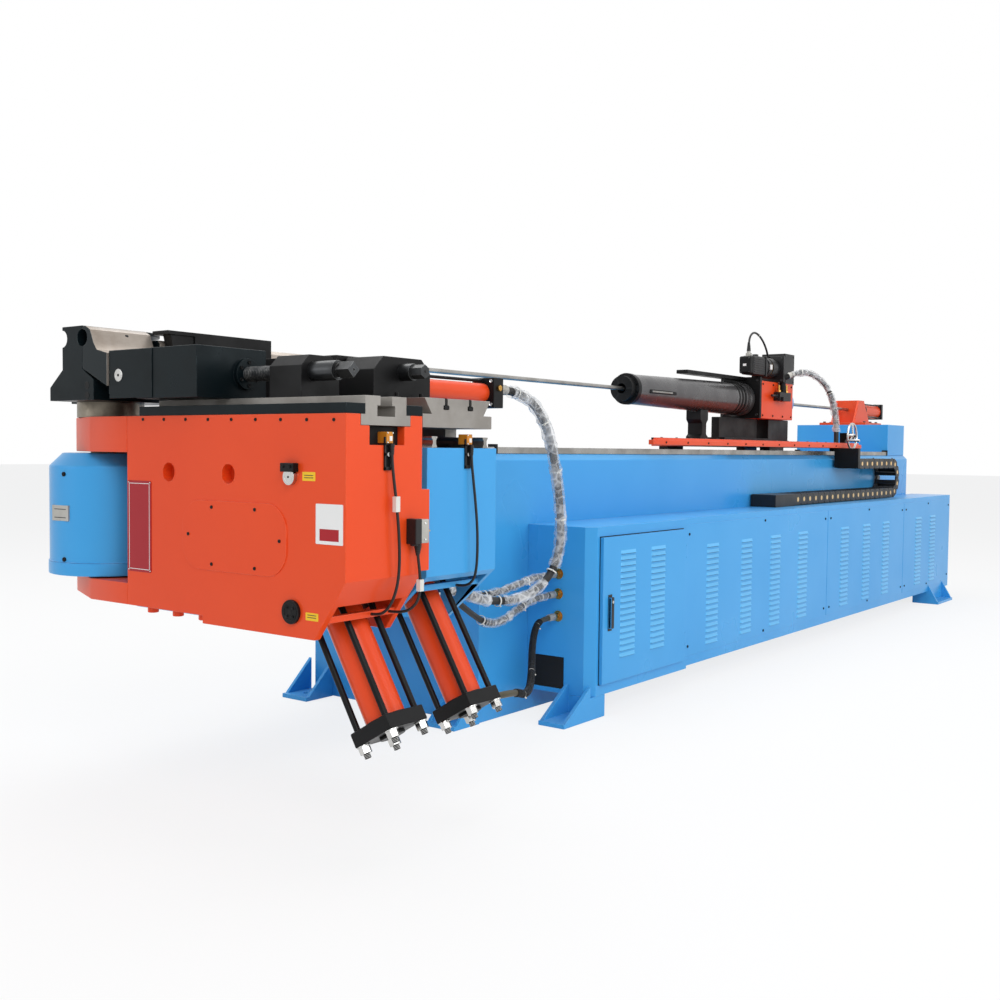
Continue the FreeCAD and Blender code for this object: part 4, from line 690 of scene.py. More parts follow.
# Hoses and cables
hoses = {
    "boosterHose": {
        "node": "booster_hose", "body": "frame", "diameter": 32.0, "length": 1.919,
        "finish": blackRubber,
        "points": [
            (1075, -776, 1430), (1230, -776, 1430), (1390, -775, 1330), (1490, -768, 1130),
            (1540, -760, 930), (1560, -750, 790), (1520, -730, 670), (1420, -705, 597),
            (1270, -685, 577), (1120, -666, 596), (970, -650, 648), (820, -640, 680),
            (670, -640, 680)],
    },
    "upperHose": {
        "node": "upper_hose", "body": "frame", "diameter": 24.0, "length": 1.104,
        "finish": blackRubber,
        "points": [
            (1757, -585, 642), (1620, -585, 642), (1470, -591, 622), (1310, -590, 597),
            (1150, -580, 600), (990, -566, 648), (830, -560, 700), (670, -560, 700)],
    },
    "middleHose": {
        "node": "middle_hose", "body": "frame", "diameter": 24.0, "length": 1.139,
        "finish": blackRubber,
        "points": [
            (1757, -585, 551), (1610, -585, 551), (1450, -612, 524), (1290, -650, 490),
            (1130, -692, 500), (980, -730, 560), (825, -745, 650), (670, -745, 650)],
    },
    "lowerHose": {
        "node": "lower_hose", "body": "frame", "diameter": 24.0, "length": 1.362,
        "finish": oliveHose,
        "points": [
            (1757, -585, 450), (1650, -585, 450), (1530, -640, 425), (1370, -740, 375),
            (1200, -860, 330), (1030, -975, 306), (860, -1075, 314), (715, -1124.8, 357.4),
            (560, -1124.8, 357.4)],
    },
    "armCable": {
        "node": "arm_cable", "body": "arm", "diameter": 9.0, "length": 0.565,
        "finish": blackRubber,
        "points": [
            (12, -1189.6, 1204), (12, -1189.6, 1166), (16, -1194, 1108), (24, -1199, 1030),
            (31, -1202, 950), (36, -1201, 870), (37, -1195, 805), (35, -1178, 750),
            (34, -1150, 714),
            (34, -1120, 700), (34, -1090, 700)],
    },
    "switchCable": {
        "node": "switch_cable", "body": "arm", "diameter": 9.0, "length": 0.291,
        "finish": blackRubber,
        "points": [
            (120, -1198, 911), (120, -1198, 880), (124, -1202, 836), (128, -1203, 784),
            (127, -1196, 742), (120, -1172, 712), (112, -1135, 700), (112, -1090, 700)],
    },
    "boxCable": {
        "node": "box_cable", "body": "frame", "diameter": 9.0, "length": 0.521,
        "finish": blackRubber,
        "points": [
            (490, -1107.6, 1204), (490, -1107.6, 1166), (494, -1112, 1108), (501, -1117, 1030),
            (507, -1121, 950), (509, -1122, 875), (508, -1120, 812), (507, -1112, 772),
            (506, -1094, 750), (506, -1066, 741), (506, -1035, 741)],
    },
    "motorCable": {
        "node": "motor_cable", "body": "carriage", "diameter": 14.0, "length": 0.574,
        "finish": blackRubber,
        "points": [
            (4760, -116, 1880), (4760, -116, 1922), (4772, -114, 1966), (4808, -111, 2000),
            (4866, -106, 2016), (4940, -99, 2010), (5014, -90, 1990), (5086, -80, 1960),
            (5150, -68, 1926), (5186, -61, 1902), (5204, -58, 1875)],
    },
    "carriageHose": {
        "node": "carriage_hose", "body": "carriage", "diameter": 34.0, "length": 0.766,
        "finish": blackRubber,
        "points": [
            (5260.2, -190, 1737.9), (5318.3, -231.2, 1764.2), (5392, -283.6, 1766),
            (5461.4, -332.8, 1735), (5518.4, -373.3, 1672), (5555.1, -399.3, 1590),
            (5577.1, -414.9, 1495), (5592, -425.6, 1395), (5592, -425.6, 1270)],
    },
}


def placed(point):
    return Vector(((point[0] - bedMiddle) * metre, point[1] * metre, point[2] * metre))


def hoseCurve(name, points, thickness):
    data = bpy.data.curves.new(name, "CURVE")
    data.dimensions = "3D"
    data.resolution_u = 14
    data.bevel_depth = thickness * metre
    data.bevel_resolution = 5
    data.use_fill_caps = True
    line = data.splines.new("NURBS")
    line.points.add(len(points) - 1)
    for vertex, point in zip(line.points, points):
        vertex.co = (*placed(point), 1.0)
    line.order_u = 3
    line.use_endpoint_u = True
    hose = bpy.data.objects.new(name, data)
    bpy.context.collection.objects.link(hose)
    return hose


# Points in mm along the hose's own smooth line
def lineOf(points):
    bare = hoseCurve("bareLine", points, 0.0)
    bare.data.bevel_depth = 0.0
    bpy.context.view_layer.update()
    mesh = bpy.data.meshes.new_from_object(bare)
    line = [v.co.copy() / metre + Vector((bedMiddle, 0, 0)) for v in mesh.vertices]
    bpy.data.meshes.remove(mesh)
    data = bare.data
    bpy.data.objects.remove(bare)
    bpy.data.curves.remove(data)
    return line


def stations(line, first, last, pitch):
    lengths = [0.0]
    for a, b in zip(line, line[1:]):
        lengths.append(lengths[-1] + (b - a).length)
    total = lengths[-1]
    found = []
    reach = first * total
    index = 0
    while reach <= last * total:
        while index < len(line) - 2 and lengths[index + 1] < reach:
            index += 1
        part = (reach - lengths[index]) / max(lengths[index + 1] - lengths[index], 1e-6)
        a, b = line[index], line[index + 1]
        found.append((a.lerp(b, min(part, 1.0)), (b - a).normalized()))
        reach += pitch
    return found


onHose = {name: [] for name in hoses}


# A piece that the cord of this name carries along
def addToHose(name, target, suffix, materials, smoothAngle=42):
    body = hoses[name]["body"]
    onHose[name].append(finishPiece(
        target, name + suffix, materials, body, smoothAngle=smoothAngle))


# A loose film sleeve: a tube along part of the hose, crumpled by noise
def filmSleeve(hoseName, suffix, line, first, last, radius):
    name = hoseName + suffix
    spots = stations(line, first, last, 7.0)
    data = bpy.data.curves.new(name + "Line", "CURVE")
    data.dimensions = "3D"
    data.bevel_depth = radius
    data.bevel_resolution = 4
    path = data.splines.new("POLY")
    path.points.add(len(spots) - 1)
    for vertex, (point, _) in zip(path.points, spots):
        vertex.co = (*point, 1.0)
    carrier = bpy.data.objects.new(name + "Line", data)
    bpy.context.collection.objects.link(carrier)
    bpy.context.view_layer.update()
    mesh = bpy.data.meshes.new_from_object(carrier)
    target = bmesh.new()
    target.from_mesh(mesh)
    bpy.data.meshes.remove(mesh)
    bpy.data.objects.remove(carrier)
    bpy.data.curves.remove(data)
    bmesh.ops.remove_doubles(target, verts=target.verts[:], dist=0.01)
    target.normal_update()
    for vertex in target.verts:
        crumple = noise.noise(vertex.co * 0.03) * 0.3 + noise.noise(vertex.co * 0.08) * 0.14
        vertex.co += vertex.normal * radius * (crumple + 0.1)
    addToHose(hoseName, target, suffix, [clearFilm], smoothAngle=70)


def makeHoses():
    made = {}
    for name, facts in hoses.items():
        hose = hoseCurve(name, facts["points"], facts["diameter"] / 2)
        hose.data.materials.append(facts["finish"])
        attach(hose, facts["body"])
        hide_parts(facts["node"])
        made[name] = (hose, lineOf(facts["points"]), facts)
    return made


hoseParts = makeHoses()

sleeves = {
    "boosterHose": [(0.04, 0.52, 23.0), (0.56, 0.7, 21.0), (0.74, 0.97, 22.0)],
    "upperHose": [(0.05, 0.45, 17.0), (0.5, 0.93, 18.0)],
    "middleHose": [(0.06, 0.62, 17.5)],
    "carriageHose": [(0.04, 0.5, 22.0), (0.53, 0.9, 23.0)],
}
ties = {
    "boosterHose": (0.06, 0.18, 0.3, 0.41, 0.53, 0.71, 0.86),
    "upperHose": (0.2, 0.47, 0.76),
    "middleHose": (0.25, 0.63, 0.84),
    "lowerHose": (0.14, 0.5, 0.8),
    "carriageHose": (0.14, 0.52, 0.78),
    "motorCable": (0.5,),
}

for hoseName, wraps in sleeves.items():
    hose, line, facts = hoseParts[hoseName]
    for count, (first, last, radius) in enumerate(wraps):
        filmSleeve(hoseName, "Film" + str(count + 1), line, first, last, radius)

for hoseName, spots in ties.items():
    hose, line, facts = hoseParts[hoseName]
    target = bmesh.new()
    wide = facts["diameter"] / 2 + (6.0 if hoseName in sleeves else 1.0)
    for spot in spots:
        point, along = stations(line, spot, spot, 1.0)[0]
        addRing(target, 0, point, along, wide - 1.2, wide + 1.2, 6.0, 24, 0.4)
        side = along.orthogonal().normalized()
        addRod(target, 0, point + side * wide, point + side * (wide + 9), 2.6, 8)
    addToHose(hoseName, target, "Ties", [whiteNylon])


# Spring guard wound round the lower hose, as close rings
def springGuard():
    hose, line, facts = hoseParts["lowerHose"]
    target = bmesh.new()
    for point, along in stations(line, 0.1, 0.86, 8.0):
        addHoop(target, 0, point, along, facts["diameter"] / 2 + 1.2, 2.2, 14, 6)
    addToHose("lowerHose", target, "Guard", [blackSteel], smoothAngle=70)


# Crimped ferrules and hex nuts at the hose ends
def hoseEnds():
    for name, ends in {
        "boosterHose": (0, 1), "upperHose": (0, 1), "middleHose": (0, 1), "lowerHose": (0, 1),
        "carriageHose": (0,),
    }.items():
        hose, line, facts = hoseParts[name]
        target = bmesh.new()
        radius = facts["diameter"] / 2
        for end in ends:
            a, b = (line[0], line[1]) if end == 0 else (line[-1], line[-2])
            along = (b - a).normalized()
            addRod(target, 0, a + along * 0.5, a + along * 16, radius + 5.5, 6, edge=1.0)
            addRod(target, 0, a + along * 16, a + along * 46, radius + 3.0, 24, edge=1.2)
            for step in (24, 31, 38):
                addHoop(target, 0, a + along * step, along, radius + 3.0, 1.2, 24, 6)
        addToHose(name, target, "Ends", [greyAlloy])


springGuard()
hoseEnds()


# White marker sleeve and boots on the thin cables
def cableBits():
    target = bmesh.new()
    addBox(target, 0, (12, -1207, 1012), (31, -1192, 1058), 1.5)
    addToHose("armCable", target, "Marker", [whiteNylon])
    for name, radius, length in (
        ("armCable", 7.0, 26), ("boxCable", 7.0, 26), ("switchCable", 12.0, 34),
        ("motorCable", 14.0, 60),
    ):
        hose, line, facts = hoseParts[name]
        start, along = line[0], (line[1] - line[0]).normalized()
        target = bmesh.new()
        addRod(target, 0, start, start + along * length, radius, 20, facts["diameter"] / 2 + 1, 0.8)
        for step in (0.3, 0.5, 0.7):
            size = radius + (facts["diameter"] / 2 + 1 - radius) * step
            addHoop(target, 0, start + along * length * step, along, size, 1.1, 20, 6)
        addToHose(name, target, "Boot", [blackRubber])
    hose, line, facts = hoseParts["switchCable"]
    point, along = stations(line, 0.42, 0.42, 1.0)[0]
    target = bmesh.new()
    addBox(target, 0, point - Vector((9, 8, 20)), point + Vector((9, 8, 16)), 1.2)
    addToHose("switchCable", target, "Marker", [whiteNylon])


cableBits()

print("hoses and cables ready")


# Painted frames with rounded corners
dressed = [
    (bluePaint, {
        "bed_frame": 5.0, "head_beam": 4.0, "pressure_box": 2.5, "rear_block": 4.0,
        "machine_feet": 2.0, "door_cabinet": 2.0, "side_cabinet": 1.5}),
    (orangePaint, {
        "arm_lugs": 3.0, "carriage_plate": 2.0, "gearbox": 4.0, "mandrel_bracket": 2.0}),
    (tealSteel, {"bend_die": 2.0, "die_base": 2.0, "grip_insert": 2.0, "clamp_holder": 2.0}),
    (blackSteel, {"clamp_nut_block": 2.0, "pressure_block": 2.5}),
    (tealSteel, {"arm_gibs": 1.5}),
    (dieSteel, {"clamp_die": 1.5, "pressure_die": 1.5}),
    (blackSteel, {"pressure_holder": 1.5}),
    (groundSteel, {"clamp_slide_plate": 1.5, "pressure_slide_plate": 1.5}),
    (blackSteel, {
        "chuck_base": 2.5, "front_support": 2.5, "yoke_frame": 3.0, "carriage_brackets": 1.5,
        "carriage_blocks": 1.5}),
    (railSteel, {"bed_rails": 1.5, "pressure_rails": 1.0}),
    (brassMetal, {"hose_fittings": 0.8}),
]
painted = {
    "spindle": castSpindle, "mandrel_rod": railSteel, "chuck_tube": chuckSteel,
    "chuck_collet": blackSteel,
}

for finish, rounding in dressed:
    for nodeName, edge in rounding.items():
        dressNode(nodeName, finish, edge)
for nodeName, finish in painted.items():
    paintNode(nodeName, finish)
print("main nodes dressed")


# Swing arm
armFace = {
    "plane": -166.0, "backPlane": 161.0, "pivot": (-961, 716), "toggle": (-957, 1112),
    "screwFrom": (-249.0, 1285.0), "screwTo": (-1130.0, 1278.0), "screwCount": 9,
    "cover": (-939.0, -456.0, 812.0, 1030.0), "coverCorner": 84.0,
    "redPlate": (-292.0, -166.0, 781.0, 1083.0), "whitePlate": (-1168.0, -1059.0, 922.0, 1038.0),
}


def armExtras(target):
    face = armFace["plane"]
    for i in range(armFace["screwCount"]):
        part = i / (armFace["screwCount"] - 1)
        y = armFace["screwFrom"][0] + part * (armFace["screwTo"][0] - armFace["screwFrom"][0])
        z = armFace["screwFrom"][1] + part * (armFace["screwTo"][1] - armFace["screwFrom"][1])
        addBolt(target, 1, (face + 0.5, y, z), (-1, 0, 0), 5.2, 3.0)
    y0, y1, z0, z1 = armFace["cover"]
    addPlate(
        target, 0, corners(y0, y1, z0, z1), "x", face - 3.5, face + 1, armFace["coverCorner"], 1.2,
        14)
    for y, z in (
        (y0 + 30, 921), (y1 - 30, 921), (-800, z0 + 20), (-800, z1 - 20), (-600, z0 + 20),
        (-600, z1 - 20),
    ):
        addBolt(target, 1, (face - 3.0, y, z), (-1, 0, 0), 5.5, 3.0)
    for y in (-383.0, -675.0):
        addRing(target, 0, (face + 0.4, y, 1115), (1, 0, 0), 30.6, 33.0, 2.0, 40, 0.6)


dressNode("arm_body", orangePaint, 3.0, armExtras, "armShell", [blackSteel])


def armTrim():
    target = bmesh.new()
    face = armFace["plane"]
    pivot, toggle = armFace["pivot"], armFace["toggle"]
    # pivot caps on both sides, with four bolts and a centre hole
    for side, x in ((-1, face), (1, armFace["backPlane"])):
        addRod(target, 0, (x, *pivot), (x + side * 10, *pivot), 36, 40, edge=1.5)
        addRing(target, 0, (x + side * 10.5, *pivot), (1, 0, 0), 24, 28, 1.4, 36, 0.4)
        addRod(target, 4, (x + side * 9, *pivot), (x + side * 10.6, *pivot), 7, 16)
        for y, z in roundTheClock(4, 45, pivot, 18):
            addBolt(target, 0, (x + side * 9.5, y, z), (side, 0, 0), 4.5, 4)
        # polished toggle pin with its keeper block
        addRod(target, 1, (x - side, *toggle), (x + side * 14, *toggle), 24, 40, edge=1.5)
        addRod(target, 0, (x + side * 13, *toggle), (x + side * 14.6, *toggle), 3.5, 12)
        addRing(target, 1, (x + side * 14, *toggle), (1, 0, 0), 15, 16.5, 0.8, 32, 0.2)
        addBox(
            target, 0, (min(x, x + side * 22), -986, 1127), (max(x, x + side * 22), -930, 1153),
            2.0)
        for y in (-973, -943):
            addBolt(target, 0, (x + side * 21.5, y, 1143), (side, 0, 0), 5, 4)
    # dark inside of the opening below the slide
    addBox(target, 4, (-60, -1150, 1196), (90, -1120, 1262), 0.0)
    # bare yellow tags
    for y0, y1, z0, z1 in ((-1056, -1003, 1102, 1128), (-1070, -1018, 697, 720)):
        addPlate(target, 2, corners(y0, y1, z0, z1), "x", face - 1.0, face + 0.5, 2.0, 0.3, 3)
        for z in (z0 + 8, z0 + 15):
            addBox(target, 3, (face - 1.25, y0 + 8, z), (face - 0.8, y1 - 8, z + 2.2), 0.0)
    finishPiece(
        target, "armTrim", [blackSteel, polishedSteel, yellowTag, oliveHose, darkGap], "arm",
        ["pivot_caps"])


def armPlates():
    target = bmesh.new()
    face = armFace["plane"]
    y0, y1, z0, z1 = armFace["redPlate"]
    addPlate(target, 0, corners(y0, y1, z0, z1), "x", face - 2, face + 0.5, 7.0, 0.6, 5)
    inner = 8.0
    for a0, a1, b0, b1 in strips(y0 + inner, y1 - inner, z0 + inner, z1 - inner, 2):
        addBox(target, 1, (face - 2.4, a0, b0), (face - 1.6, a1, b1), 0.0)
    for y in (y0 + 5.5, y1 - 5.5):
        for z in (z0 + 5.5, z1 - 5.5):
            addRod(target, 2, (face - 1.5, y, z), (face - 3.4, y, z), 3, 14, 2.2, 0.3)
    y0, y1, z0, z1 = armFace["whitePlate"]
    addPlate(target, 1, corners(y0, y1, z0, z1), "x", face - 1.4, face + 0.5, 3.0, 0.3, 3)
    addBox(target, 0, (face - 1.8, y0 + 16, z0 + 10), (face - 1.2, y1 - 16, z0 + 44), 0.2)
    finishPiece(
        target, "armPlates", [redEnamel, whiteEnamel, polishedSteel], "arm",
        ["arm_plates"])


# A slotted black bracket that carries a square sensor
def sensorShapes(target, x, wall):
    front = wall - 6
    for x0, x1 in ((x - 14, x - 8), (x + 8, x + 14)):
        addBox(target, 0, (x0, front, 1134), (x1, wall, 1214), 0.8)
    addBox(target, 0, (x - 14, front, 1134), (x + 14, wall, 1144), 0.8)
    addBox(target, 0, (x - 14, front, 1176), (x + 14, wall, 1186), 0.8)
    addBox(target, 0, (x - 14, front, 1208), (x + 14, wall, 1232), 0.8)
    addRod(target, 2, (x, front - 3, 1181), (x, wall, 1181), 7, 6)
    addBox(target, 3, (x - 8, wall - 1, 1144), (x + 8, wall + 0.3, 1208), 0.0)
    addBox(target, 1, (x - 9, front - 2, 1213), (x + 19, wall + 30, 1247), 2.0, 3)
    addBox(target, 4, (x + 3, front - 2.6, 1220), (x + 15, front - 1.8, 1234), 0.4)
    for sx, sz in ((-6, 1216), (-6, 1244), (16, 1244)):
        addBolt(target, 2, (x + sx, front - 2.2, sz), (0, -1, 0), 2.6, 1.6, 12)
    addRod(target, 0, (x + 10, wall - 11.6, 1212), (x + 10, wall - 11.6, 1202), 8, 16, edge=0.8)


def makeSensors():
    for name, x, wall, body, replaced in (
        ("armSensor", 2.0, -1178.0, "arm", ["arm_switches"]),
        ("boxSensor", 480.0, -1096.0, "frame", ["pressure_sensor"]),
    ):
        target = bmesh.new()
        sensorShapes(target, x, wall)
        if name == "armSensor":
            # limit switch: black body, alloy cover, brass plunger
            addBox(target, 0, (89, -1218, 913), (117, -1178, 989), 3.0, 3)
            addBox(target, 5, (116, -1216, 915), (151, -1180, 987), 2.5, 3)
            for z in (927, 975):
                addBolt(target, 2, (133, -1215.6, z), (0, -1, 0), 4, 2.4)
            addRod(target, 5, (151, -1198, 950), (160, -1198, 950), 11, 20, edge=1.0)
            addRod(target, 6, (160, -1198, 950), (173, -1198, 950), 8, 20, 4, 0.8)
            addRod(target, 0, (103, -1198, 913), (103, -1198, 908), 12, 20, edge=1)
        finishPiece(
            target, name,
            [
                blackPlastic, bronzePlastic, polishedSteel, darkGap, whiteEnamel, greyAlloy,
                brassMetal,
            ],
            body, replaced)


armTrim()
armPlates()
makeSensors()
print("arm ready")


# Hub cover
def hubExtras(target):
    for angle, z in ((-172, 1097), (-172, 800), (92, 1097), (92, 800)):
        a = math.radians(angle)
        foot = Vector((209.5 * math.cos(a), 171 + 209.5 * math.sin(a), z))
        addBolt(target, 1, foot, (math.cos(a), math.sin(a), 0), 8, 5)
    a = math.radians(-178)
    turn = Matrix.Rotation(a, 4, "Z")
    label = Matrix.Translation((0, 171, 961)) @ turn @ Matrix.Translation((210.0, 0, 0))
    addBox(target, 2, (-8, -46, -27), (0.9, 46, 27), 0.4, place=label)
    addBox(target, 3, (0.2, -33, -17), (1.2, 33, -14), 0.0, place=label)
    addBox(target, 3, (0.2, -33, 12), (1.2, 33, 15), 0.0, place=label)


dressNode("hub_cover", bluePaint, 4.0, hubExtras, "hubShell", [blackSteel, greyAlloy, oiledSteel])


# Clamp and pressure groups; a screw's axis runs along y
screwAxes = {"clamp": (-25, 1430), "pressure": (435, 1455)}
holderStop = (-198, 1428)


def clampTrim():
    target = bmesh.new()
    # polished stop bolt on the holder's end
    addRod(target, 0, (-218, *holderStop), (-225, *holderStop), 21, 40, edge=1.5)
    addRing(target, 0, (-225, *holderStop), (1, 0, 0), 13, 15, 0.8, 32, 0.2)
    addRod(target, 1, (-224, *holderStop), (-225.6, *holderStop), 5, 6)
    # harder face plate let into the holder's end
    addBox(target, 3, (-222, -372, 1353), (-217, -146, 1509), 1.0)
    # bolts round the screw flange
    for x, z in roundTheClock(6, 30, screwAxes["clamp"], 37):
        addBolt(target, 2, (x, -606.5, z), (0, -1, 0), 6, 5)
    # tapped holes on the holder's top
    for x, y in ((-150, -300), (-150, -480), (0, -300), (0, -480)):
        addRod(target, 1, (x, y, 1510.4), (x, y, 1511.4), 8, 20)
    # small grub screw on the clamp die
    addBolt(target, 2, (-120, -96, 1568), (0, -0.55, 0.83), 6, 3)
    finishPiece(
        target, "clampTrim", [polishedSteel, darkGap, blackSteel, tealSteel], "clamp_slide")


def insertTrim():
    target = bmesh.new()
    for z in (1399, 1365):
        addRing(target, 0, (-227.3, -27, z), (1, 0, 0), 11, 12.5, 1.0, 28, 0.2)
        addRod(target, 1, (-226.5, -27, z), (-227.6, -27, z), 11.1, 24)
    finishPiece(target, "insertTrim", [blackSteel, darkGap], "arm")


def pressureTrim():
    target = bmesh.new()
    # T-bolts in the slide's two slots
    for x in (435 - 62, 435 + 62):
        addBox(target, 0, (x - 12, -1099, 1326), (x + 12, -1080, 1336), 1.2)
        addRod(target, 0, (x, -1090, 1336), (x, -1090, 1361), 5.5, 12)
        addRod(target, 0, (x, -880, 1359), (x, -880, 1371), 14, 6, edge=1.2)
        addRod(target, 0, (x, -880, 1371), (x, -880, 1385), 7, 16, edge=1.0)
    # rib that closes the gap between the hood and the die
    addPlate(
        target, 0, [(34, 1587), (52, 1514), (170, 1514), (170, 1587)], "y", -129, -86, 0.0, 1.0)
    finishPiece(target, "pressureTrim", [blackSteel], "pressure_slide")


def leadScrews():
    target = bmesh.new()
    x, z = screwAxes["clamp"]
    addRod(target, 0, (x, -590, z), (x, -906, z), 23, 40)
    addRod(target, 0, (x, -904, z), (x, -1006, z), 30, 48, edge=2.0)
    addRod(target, 1, (x, -1004, z), (x, -1016, z), 21, 32)
    addRod(target, 0, (x, -1014, z), (x, -1070, z), 25, 4, edge=2.0)
    addRod(target, 1, (x, -1068, z), (x, -1070.6, z), 4, 16)
    for step in range(40):
        addHoop(target, 0, (x, -600 - step * 7.5, z), (0, 1, 0), 23, 1.5, 28, 6)
    finishPiece(
        target, "clampLeadScrew", [oiledSteel, darkGap], "clamp_slide",
        ["clamp_screw"])
    target = bmesh.new()
    x, z = screwAxes["pressure"]
    screw = frame["nodes"]["pressure_screw"]
    tip = min((screw.matrix_world @ Vector(corner)).y for corner in screw.bound_box) / metre
    addRod(target, 0, (x, -680, z), (x, -850, z), 25, 40)
    addRod(target, 0, (x, -850, z), (x, tip + 50, z), 29, 48, edge=2.0)
    addRod(target, 0, (x, tip + 52, z), (x, tip, z), 24, 6, edge=2.0)
    addRod(target, 1, (x, tip + 1, z), (x, tip - 0.6, z), 5, 16)
    finishPiece(
        target, "pressureLeadScrew", [oiledSteel, darkGap], "pressure_slide",
        ["pressure_screw"])


wheel = {"centre": (5709.0, -500.0, 1318.0), "rim": 92, "thick": 7.5, "handleAt": 200}


def handwheelPiece():
    target = bmesh.new()
    x, y, z = wheel["centre"]
    rim = wheel["rim"]
    addHoop(target, 0, (x, y, z), (0, 1, 0), rim, wheel["thick"], 56, 12)
    addRod(target, 0, (x, y - 18, z), (x, y + 30, z), 19, 32, edge=2.0)
    for turn in range(3):
        a = math.radians(90 + 120 * turn)
        addRod(
            target, 0, (x + 12 * math.cos(a), y - 4, z + 12 * math.sin(a)),
            (x + 90 * math.cos(a), y, z + 90 * math.sin(a)), 7, 16, 5.5)
    a = math.radians(wheel["handleAt"])
    x, z = x + rim * math.cos(a), z + rim * math.sin(a)
    addRod(target, 0, (x, y, z), (x, y - 86, z), 7, 20, 10, 2.0)
    finishPiece(
        target, "handwheelRim", [polishedSteel], "wheel", ["handwheel"])


leadScrews()
handwheelPiece()
clampTrim()
insertTrim()
pressureTrim()


# Cylinders
tieRod = {
    "tube": 62.0, "cap": 82.0, "capThick": 46.0, "length": 495.0, "top": 70.0, "rodAt": 64.0,
    "rod": 10.0,
}


def tieRodCylinder(name, node, body, pivot, tilt, pinHalf, portSide):
    t = tieRod
    place = Matrix.Translation(pivot) @ Matrix.Rotation(math.radians(tilt), 4, "X")
    target = bmesh.new()
    low = t["top"] - t["length"]
    addRod(
        target, 0, (0, 0, low + t["capThick"] - 1), (0, 0, t["top"] - t["capThick"] + 1), t["tube"],
        64, place=place)
    for z0 in (low, t["top"] - t["capThick"]):
        addBox(
            target, 1, (-t["cap"], -t["cap"], z0), (t["cap"], t["cap"], z0 + t["capThick"]), 4.0, 3,
            place=place)
        edgeZ = z0 + t["capThick"] if z0 == low else z0
        addRing(
            target, 1, (0, 0, edgeZ), (0, 0, 1), t["tube"] - 2, t["tube"] + 5, 8, 64, 1.5,
            place=place)
    for sx in (-1, 1):
        for sy in (-1, 1):
            x, y = sx * t["rodAt"], sy * t["rodAt"]
            addRod(
                target, 1, (x, y, low - 40), (x, y, t["top"] - t["capThick"] + 2), t["rod"], 20,
                edge=1.0, place=place)
            addRod(target, 2, (x, y, low - 26), (x, y, low), 19, 6, edge=2.0, place=place)
            addRing(target, 2, (x, y, low - 2), (0, 0, 1), 10, 21, 3.0, 28, 0.5, place=place)
            for step in range(3):
                addHoop(
                    target, 2, (x, y, low - 29 - step * 4), (0, 0, 1), t["rod"], 0.9, 16, 5,
                    place=place)
    addRod(target, 2, (-pinHalf, 0, 0), (pinHalf, 0, 0), 21.9, 32, place=place)
    # end plate with a raised boss and a plug
    addRod(target, 1, (0, 0, low), (0, 0, low - 10), 40, 48, edge=2.0, place=place)
    addRod(target, 3, (0, 0, low - 9), (0, 0, low - 14), 12, 6, edge=1.0, place=place)
    if portSide:
        drop = t["length"] - t["top"] - t["capThick"] / 2
        addRod(
            target, 3, (t["cap"] - 1, 0, -drop), (t["cap"] + 23, 0, -drop), 18, 32, edge=1.5,
            place=place)
        addRod(
            target, 3, (t["cap"], 0, -drop), (t["cap"] + 10, 0, -drop), 22, 6, edge=1.5,
            place=place)
    finishPiece(
        target, name, [orangePaint, blackSteel, polishedSteel, brassMetal], body,
        [node])


tieRodCylinder("clampCylinder", "clamp_cylinder", "arm", (30, *armFace["pivot"]), -31, 82, False)
tieRodCylinder("pressureCylinder", "pressure_cylinder", "frame", (455, -918, 702), -31, 82, True)


def clampPin():
    target = bmesh.new()
    pivot = armFace["pivot"]
    addRod(target, 0, (-165, *pivot), (160, *pivot), 21.9, 32)
    finishPiece(target, "clampPin", [oiledSteel], "arm")


clampPin()


booster = {"axis": (-776.0, 1412.0), "from": 577, "to": 972, "portHeight": 1430}


def boosterCylinder():
    target = bmesh.new()
    y, z = booster["axis"]
    x0, x1, port = booster["from"], booster["to"], booster["portHeight"]
    addRod(target, 0, (x0, y, z), (x1, y, z), 36, 48)
    addRing(target, 1, (x0 + 7, y, z), (1, 0, 0), 30, 41, 12, 48, 1.5)
    addBox(target, 1, (970, y - 57, z - 57), (1030, y + 57, z + 57), 3.0, 3)
    for sy in (-1, 1):
        for sz in (-1, 1):
            addBolt(target, 2, (1029.5, y + 44 * sy, z + 44 * sz), (1, 0, 0), 8, 6)
            addBolt(target, 2, (970.5, y + 44 * sy, z + 44 * sz), (-1, 0, 0), 7, 5)
    # guide rod above the tube, and the ports
    addRod(target, 1, (x0, y + 4, z + 46), (x1, y + 4, z + 46), 6, 20)
    addRod(target, 3, (1029, y, port), (1075, y, port), 18, 32, edge=1.0)
    addRod(target, 3, (1030, y, port), (1046, y, port), 22, 6, edge=1.5)
    addRod(target, 4, (1000, y - 57, port), (1000, y - 66, port), 12, 6, edge=1.0)
    finishPiece(
        target, "boosterCylinder", [orangePaint, blackSteel, polishedSteel, greyAlloy, brassMetal],
        "pressure_slide", ["booster_cylinder"])


def mandrelCylinder():
    target = bmesh.new()
    z = pipeHeight
    addRod(target, 0, (7240, 0, z), (7622, 0, z), 58, 48)
    addBox(target, 1, (7620, -66, z - 66), (7660, 66, z + 66), 3.0, 3)
    addRing(target, 1, (7246, 0, z), (1, 0, 0), 50, 66, 14, 48, 1.5)
    for sy in (-1, 1):
        for sz in (-1, 1):
            addRod(target, 1, (7240, 52 * sy, z + 52 * sz), (7620, 52 * sy, z + 52 * sz), 6, 14)
            addRod(
                target, 2, (7658, 52 * sy, z + 52 * sz), (7660, 52 * sy, z + 52 * sz), 11, 6,
                edge=0.4)
    addRod(target, 2, (7640, 0, z + 66), (7640, 0, z + 78), 12, 6, edge=1.0)
    finishPiece(
        target, "mandrelCylinder", [orangePaint, blackSteel, polishedSteel], "frame",
        ["mandrel_cylinder"])


